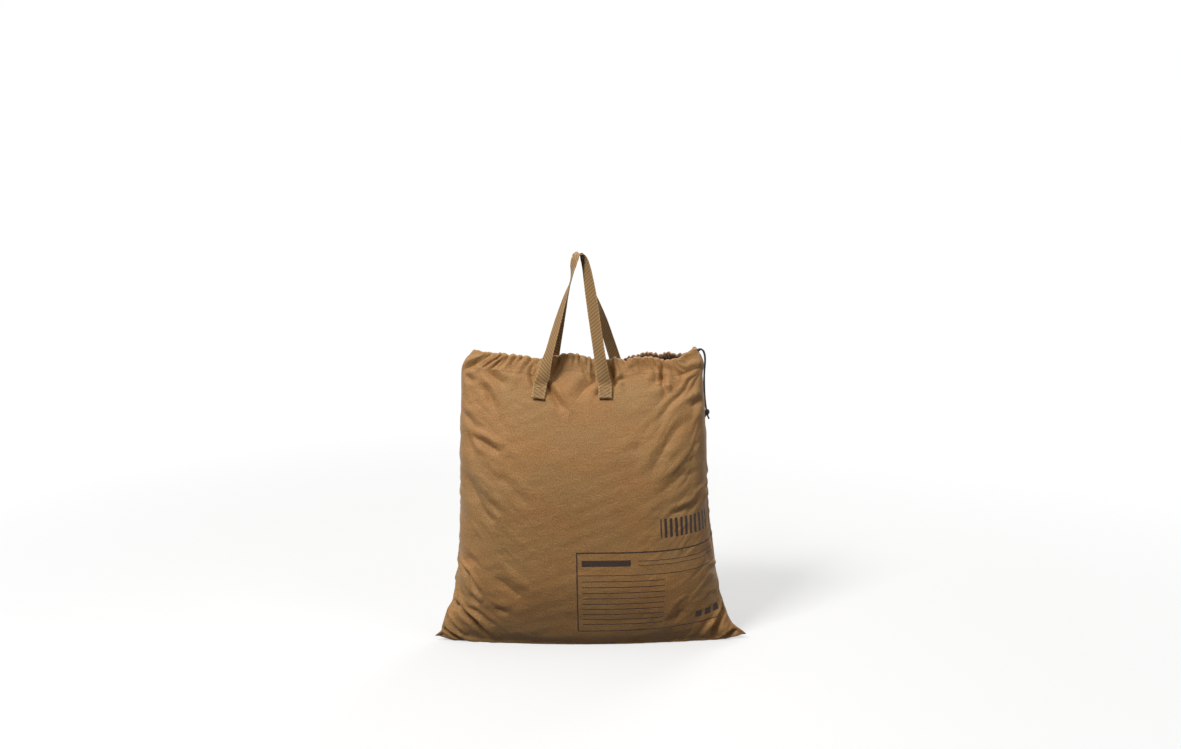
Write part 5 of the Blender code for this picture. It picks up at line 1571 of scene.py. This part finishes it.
class MakeHandles(bpy.types.Operator):
    """Make the two webbing handles with their sewn ends and stitching"""
    bl_idname = "packed_sofa.make_handles"
    bl_label = "Handles"

    def execute(self, context):
        sizes, finishes = context.scene.bag_sizes, context.scene.finishes
        webbing = webbing_cloth(finishes.webbing)
        thread = sewing_thread("bonded_polyester_thread", finishes.thread)
        for side, word, table, tabs in (
            (FRONT, "front", FRONT_HANDLE_shares, FRONT_TABS),
            (BACK, "back", BACK_HANDLE_shares, BACK_TABS),
        ):
            nodes = [f"{word}_handle_{end}_sewn_end" for end in ("left", "right")]
            ends = [sewn_end_plane(node, side) for node in nodes]
            middles, halves = handle_rows(side, table, tabs, ends)
            handle = ribbon(f"{word}_webbing_handle", middles, halves, [webbing])
            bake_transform(handle)
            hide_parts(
                f"{word}_handle_loop",
                f"{word}_handle_left_sewn_end", f"{word}_handle_right_sewn_end")
            for name, (crease, foot, out) in zip(("left", "right"), ends):
                piece = self.box_stitching(
                    f"{word}_{name}_box_stitching", crease, foot, out, sizes, thread)
                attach(piece, "bag")
                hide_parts(f"{word}_handle_{name}_stitching")
        return {"FINISHED"}

    def box_stitching(self, name, crease, foot, out, sizes, thread):
        """A sewn box with a cross in it, stitch by stitch."""
        up = unit(crease - foot)
        wide = np.cross(up, out)
        half = WEBBING_WIDTH / 2 - STITCH_INSET
        low, high = STITCH_INSET, SEWN_LENGTH + SEWN_TAIL - STITCH_CREASE_INSET
        box = [(-half, low), (half, low), (half, high), (-half, high)]
        legs = ((0, 1), (1, 2), (2, 3), (3, 0), (0, 2), (1, 3))
        lines = [(box[start], box[end]) for start, end in legs]
        face = foot + out * WEBBING_THICKNESS / 2
        points, faces = [], []
        for line_ends in lines:
            line = [face + wide * x + up * z for x, z in line_ends]
            shapes = stitches_along(line, np.array([out, out]), sizes.stitch_length)
            length = sizes.stitch_length * BOX_STITCH_share
            more, more_faces = stitch_shapes(*shapes, length, sizes.thread_radius)
            faces += [tuple(len(points) + index for index in corners) for corners in more_faces]
            points += more
        return mesh_piece(name, points, faces, [thread])


def rounded_outline(corners, steps=6):
    """A closed outline whose corners, each a place and a radius, are arcs."""
    outline = []
    for index, (place, radius) in enumerate(corners):
        here = np.array(place)
        if radius <= 0:
            outline.append(here)
            continue
        before = unit(np.array(corners[index - 1][0]) - here)
        after = unit(np.array(corners[(index + 1) % len(corners)][0]) - here)
        centre = here + (before + after) * radius
        for turn in np.linspace(0, math.pi / 2, steps):
            arc = after * math.cos(turn) + before * math.sin(turn)
            outline.append(centre - arc * radius)
    return np.array(outline)


def fold_outline(side, levels, inset):
    """The chamber folded in three, seen from the side as depth and height."""
    floor_outer, floor_inner, top_outer, top_inner = levels
    pitch = RUN_THICKNESS + RUN_GAP
    near = [RUN_GAP / 2 + index * pitch for index in range(3)]
    far = [start + RUN_THICKNESS for start in near]
    thick = RUN_THICKNESS
    corners = [
        (far[2] - inset, floor_outer + inset, FREE_END_RADIUS),
        (far[2] - inset, top_outer - inset, FOLD_RADIUS),
        (near[1] + inset, top_outer - inset, FOLD_RADIUS),
        (near[1] + inset, floor_inner + thick - inset, 0.0),
        (far[0] - inset, floor_inner + thick - inset, 0.0),
        (far[0] - inset, top_inner - inset, FREE_END_RADIUS),
        (near[0] + inset, top_inner - inset, FREE_END_RADIUS),
        (near[0] + inset, floor_inner + inset, FOLD_RADIUS),
        (far[1] - inset, floor_inner + inset, FOLD_RADIUS),
        (far[1] - inset, top_outer - thick + inset, 0.0),
        (near[2] + inset, top_outer - thick + inset, 0.0),
        (near[2] + inset, floor_outer + inset, FREE_END_RADIUS),
    ]
    return rounded_outline([((side * depth, height), radius) for depth, height, radius in corners])


class MakeFoldedSofa(bpy.types.Operator):
    """Make the sofa's two chambers: cloth covers folded in three round their bladders"""
    bl_idname = "packed_sofa.make_folded_sofa"
    bl_label = "Folded sofa"

    def execute(self, context):
        finishes = context.scene.finishes
        cloth = oxford_cloth("oxford_sofa_cover", finishes.sofa_cloth)
        film = bladder_film(finishes.film)
        for side, word in ((FRONT, "seat"), (BACK, "backrest")):
            levels = self.levels(word, side)
            low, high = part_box(f"{word}_cover")
            for name, inset, material, slot, fill in (
                ("cover", 0.0, cloth, "sofa_cloth", 0.2),
                ("bladder", COVER_WALL + BLADDER_GAP, film, "bladder_film", 0.05),
            ):
                piece = self.folded(
                    f"{word}_folded_{name}", fold_outline(side, levels, inset),
                    (high.x - low.x) / 2 - inset, material, COVER_SEED + side, inset > 0)
                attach(piece, "bag")
                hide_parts(f"{word}_{name}")
        return {"FINISHED"}

    def levels(self, word, side):
        """Heights of the folds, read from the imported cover."""
        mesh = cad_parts[f"{word}_cover"].data
        points = np.array([tuple(vertex.co) for vertex in mesh.vertices])
        outer = side * points[:, 1] > RUN_GAP / 2 + 2 * (RUN_THICKNESS + RUN_GAP) - RUN_GAP / 4
        return (
            points[outer, 2].min(), points[:, 2].min(),
            points[outer, 2].max(), points[:, 2].max(),
        )

    def folded(self, name, outline, half_width, material, seed, plain):
        """The outline carried across the bag, drawn in at both ends and creased."""
        closed = np.vstack([outline, outline[:1]])
        run = lengths_along(closed)
        marks = np.linspace(0, run[-1], COVER_POINTS_ROUND, endpoint=False)
        loop = read_along(closed, run, marks)
        after = np.roll(loop, -1, axis=0)
        ahead = after - np.roll(loop, 1, axis=0)
        area = np.sum(loop[:, 0] * after[:, 1] - after[:, 0] * loop[:, 1])
        way = unit(np.stack([ahead[:, 1], -ahead[:, 0]], axis=1)) * math.copysign(1.0, area)
        across = np.linspace(-1, 1, COVER_POINTS_ACROSS)
        place = np.stack(np.meshgrid(marks, across * half_width), axis=-1)
        crease = waves(place, seed, *COVER_CREASE_PITCH) * COVER_CREASE - COVER_SINK
        low = ease((LOW_CORNER_TOP - loop[:, 1]) / LOW_CORNER_FADE)
        drawn = END_DRAW * across[:, None] ** END_DRAW_POWER
        drawn = drawn + LOW_CORNER_DRAW * across[:, None] ** LOW_CORNER_POWER * low
        depth = (0.0 if plain else 1.0) * crease - drawn
        points = np.zeros((len(across), len(marks), 3))
        points[..., 0] = PACK_CENTRE + across[:, None] * half_width
        points[..., 1:] = loop[None] + way[None] * depth[..., None]
        points[..., 2] = np.minimum(points[..., 2], loop[:, 1].max())
        faces = ring_faces(len(across), len(marks))
        piece = mesh_piece(name, points, faces, [material], COVER_EDGE_DEG)
        store(piece, "cloth_mm", points.shape, marks, across[:, None] * half_width)
        return piece


class FinishValves(bpy.types.Operator):
    """Give the screw valves their plastics"""
    bl_idname = "packed_sofa.finish_valves"
    bl_label = "Valves"

    def execute(self, context):
        finishes = context.scene.finishes
        shell = moulded_plastic("moulded_abs_valve", finishes.valve, 0.42, 0.35)
        insert = moulded_plastic("moulded_nylon_insert", finishes.insert, 0.36, 0.30)
        flap = moulded_plastic("moulded_silicone_flap", finishes.flap, 0.55, 0.25, ior=1.41)
        for word in ("seat", "backrest"):
            for name, material, slot in (
                ("valve_base", shell, "valve_plastic"), ("valve_cap", shell, "valve_plastic"),
                ("valve_insert", insert, "insert_plastic"), ("valve_flap", flap, "silicone"),
            ):
                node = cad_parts[f"{word}_{name}"]
                node.data.materials.clear()
                node.data.materials.append(material)
                node.data.shade_smooth()
                node.data.set_sharp_from_angle(angle=math.radians(VALVE_EDGE_DEG))
        return {"FINISHED"}


class MakeZips(bpy.types.Operator):
    """Make the woven zip tapes with their teeth, and finish sliders and pulls"""
    bl_idname = "packed_sofa.make_zips"
    bl_label = "Zips"

    def execute(self, context):
        finishes = context.scene.finishes
        tape = oxford_cloth("woven_zip_tape", finishes.zip_tape)
        teeth = moulded_plastic("moulded_nylon_teeth", finishes.zip_tape, 0.45, 0.2)
        metal = zip_metal(finishes.zip_metal)
        for word in ("seat", "backrest"):
            low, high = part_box(f"{word}_zip_tape")
            piece = self.tape(f"{word}_zip_tape_and_teeth", low, high, [tape, teeth])
            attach(piece, "bag")
            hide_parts(f"{word}_zip_tape")
            for name in ("zip_slider", "zip_pull"):
                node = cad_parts[f"{word}_{name}"]
                node.data.materials.clear()
                node.data.materials.append(metal)
        return {"FINISHED"}

    def tape(self, name, low, high, materials):
        """Two woven strips with a row of teeth between them."""
        middle, half = (low.y + high.y) / 2, (high.y - low.y) / 2
        upper = [
            (middle + share * half, low.z + ZIP_TAPE_THICKNESS * rise)
            for share, rise in ZIP_TAPE_shares]
        ring = upper + [(depth, low.z) for depth, _ in reversed(upper)]
        along = np.linspace(low.x, high.x, ZIP_POINTS)
        points = np.array([[(x, depth, height) for depth, height in ring] for x in along])
        faces = ring_faces(len(along), len(ring))
        points = points.reshape(-1, 3).tolist()
        tape_faces = len(faces)
        foot = low.z + ZIP_TAPE_THICKNESS
        for index in range(int((high.x - low.x - 2 * ZIP_END) / TOOTH_PITCH)):
            place = low.x + ZIP_END + (index + 0.5) * TOOTH_PITCH
            depth = middle + (-TOOTH_OFFSET if index % 2 else TOOTH_OFFSET)
            first = len(points)
            for share, shrink in TOOTH_shares:
                for x, y in ((-1, -1), (1, -1), (1, 1), (-1, 1)):
                    points.append((
                        place + x * TOOTH_LENGTH / 2 * shrink, depth + y * TOOTH_WIDTH / 2 * shrink,
                        foot + (high.z - foot) * share))
            faces += [tuple(first + corner for corner in face) for face in ring_faces(len(TOOTH_shares), 4)]
        piece = mesh_piece(name, points, faces, materials, ZIP_EDGE_DEG)
        use_second_material(piece, tape_faces)
        store(piece, "cloth_mm", (len(points), 3), *np.array(points).T)
        return piece


class MakeStage(bpy.types.Operator):
    """Make the pale floor, the white surroundings and the soft studio light"""
    bl_idname = "packed_sofa.make_stage"
    bl_label = "Stage and light"

    def execute(self, context):
        white = context.scene.finishes.floor
        material, tree, shader = new_material("painted_studio_floor", {
            "Roughness": 0.85, "Base Color": linear(white), "Specular IOR Level": 0.1,
            "Emission Color": WHITE})
        seen = self.seen(tree)
        place = add_node(tree, COORDINATES).outputs["Object"]
        away = add_node(tree, VECTOR_MATH, {0: place}, operation="LENGTH").outputs["Value"]
        glow = add_node(tree, MAP_RANGE, {
            "Value": away, "From Min": FLOOR_FADE_START, "From Max": FLOOR_FADE,
            "To Min": FLOOR_GLOW, "To Max": 1.0}, interpolation_type="SMOOTHSTEP")
        lit = add_node(tree, MATH, {0: 1.0, 1: glow}, operation="SUBTRACT")
        dimmed = add_node(tree, VECTOR_MATH, {0: linear(white)[:3], "Scale": lit}, operation="SCALE")
        bounce = linear(context.scene.finishes.floor_bounce)
        colour = add_node(tree, MIX, {"Factor": seen, 6: bounce, 7: dimmed}, data_type="RGBA")
        shine = add_node(tree, MATH, {0: seen, 1: glow}, operation="MULTIPLY")
        fill(tree, shader.inputs["Base Color"], colour.outputs[2])
        fill(tree, shader.inputs["Emission Strength"], shine)
        turns = np.linspace(0, 2 * math.pi, 48, endpoint=False)
        rim = [(FLOOR_RADIUS * math.cos(turn), FLOOR_RADIUS * math.sin(turn), 0.0) for turn in turns]
        floor = mesh_piece("studio_floor", rim, [tuple(range(len(rim)))], [material])
        world = bpy.data.worlds.new("studio_world")
        context.scene.world = world
        world.use_nodes = True
        tree = world.node_tree
        way = add_node(tree, SEPARATE, {0: add_node(tree, COORDINATES).outputs["Generated"]})
        sky = add_node(tree, MAP_RANGE, {
            "Value": way.outputs[2], "To Min": SKY_LIGHT * LOW_SKY_share, "To Max": SKY_LIGHT})
        strength = add_node(tree, MAP_RANGE, {
            "Value": self.seen(tree), "To Min": sky, "To Max": 1.0})
        background = tree.nodes["Background"]
        fill(tree, background.inputs["Color"], WHITE)
        fill(tree, background.inputs["Strength"], strength)
        for name, place, power, size in LAMPS:
            lamp = bpy.data.lights.new(name, "AREA")
            lamp.energy = power
            lamp.size = size
            holder = bpy.data.objects.new(name, lamp)
            context.scene.collection.objects.link(holder)
            aim = (Vector(LAMP_AIM) - Vector(place)).to_track_quat("-Z", "Y")
            holder.matrix_world = Matrix.LocRotScale(Vector(place), aim, None)
        context.scene.view_settings.view_transform = "Standard"
        return {"FINISHED"}

    def seen(self, tree):
        """1 for what the camera, a reflection or glass shows, 0 for light that bounces."""
        rays = add_node(tree, "ShaderNodeLightPath").outputs
        mirrored = add_node(tree, MATH, {
            0: rays["Is Glossy Ray"], 1: rays["Is Transmission Ray"]}, operation="MAXIMUM")
        return add_node(tree, MATH, {0: rays["Is Camera Ray"], 1: mirrored}, operation="MAXIMUM")


class SofaPanel(bpy.types.Panel):
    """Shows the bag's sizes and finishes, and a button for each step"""
    bl_idname = "PACKED_SOFA_PT_pieces"
    bl_label = "Packed sofa"
    bl_space_type = "VIEW_3D"
    bl_region_type = "UI"
    bl_category = "Packed sofa"

    def draw(self, context):
        for group in (context.scene.bag_sizes, context.scene.finishes):
            for name in group.bl_rna.properties.keys():
                if name not in ("rna_type", "name"):
                    self.layout.prop(group, name)
        for operator in OPERATORS:
            self.layout.operator(operator.bl_idname)


OPERATORS = (
    PlaceCamera, MakeCord, MakeBag, MakeHandles, MakeFoldedSofa, FinishValves, MakeZips, MakeStage,
)
CLASSES = (BagSizes, Finishes) + OPERATORS + (SofaPanel,)


def register():
    for item in CLASSES:
        bpy.utils.register_class(item)
    bpy.types.Scene.bag_sizes = PointerProperty(type=BagSizes)
    bpy.types.Scene.finishes = PointerProperty(type=Finishes)


def unregister():
    del bpy.types.Scene.finishes
    del bpy.types.Scene.bag_sizes
    for item in reversed(CLASSES):
        bpy.utils.unregister_class(item)


def corners(box):
    return [[float(value) for value in corner] for corner in box]


def main():
    register()
    bpy.ops.packed_sofa.place_camera()
    bpy.ops.packed_sofa.make_cord()
    bpy.ops.packed_sofa.make_bag()
    bpy.ops.packed_sofa.make_handles()
    bpy.ops.packed_sofa.make_folded_sofa()
    bpy.ops.packed_sofa.finish_valves()
    bpy.ops.packed_sofa.make_zips()
    bpy.ops.packed_sofa.make_stage()


if __name__ == "__main__":
    main()
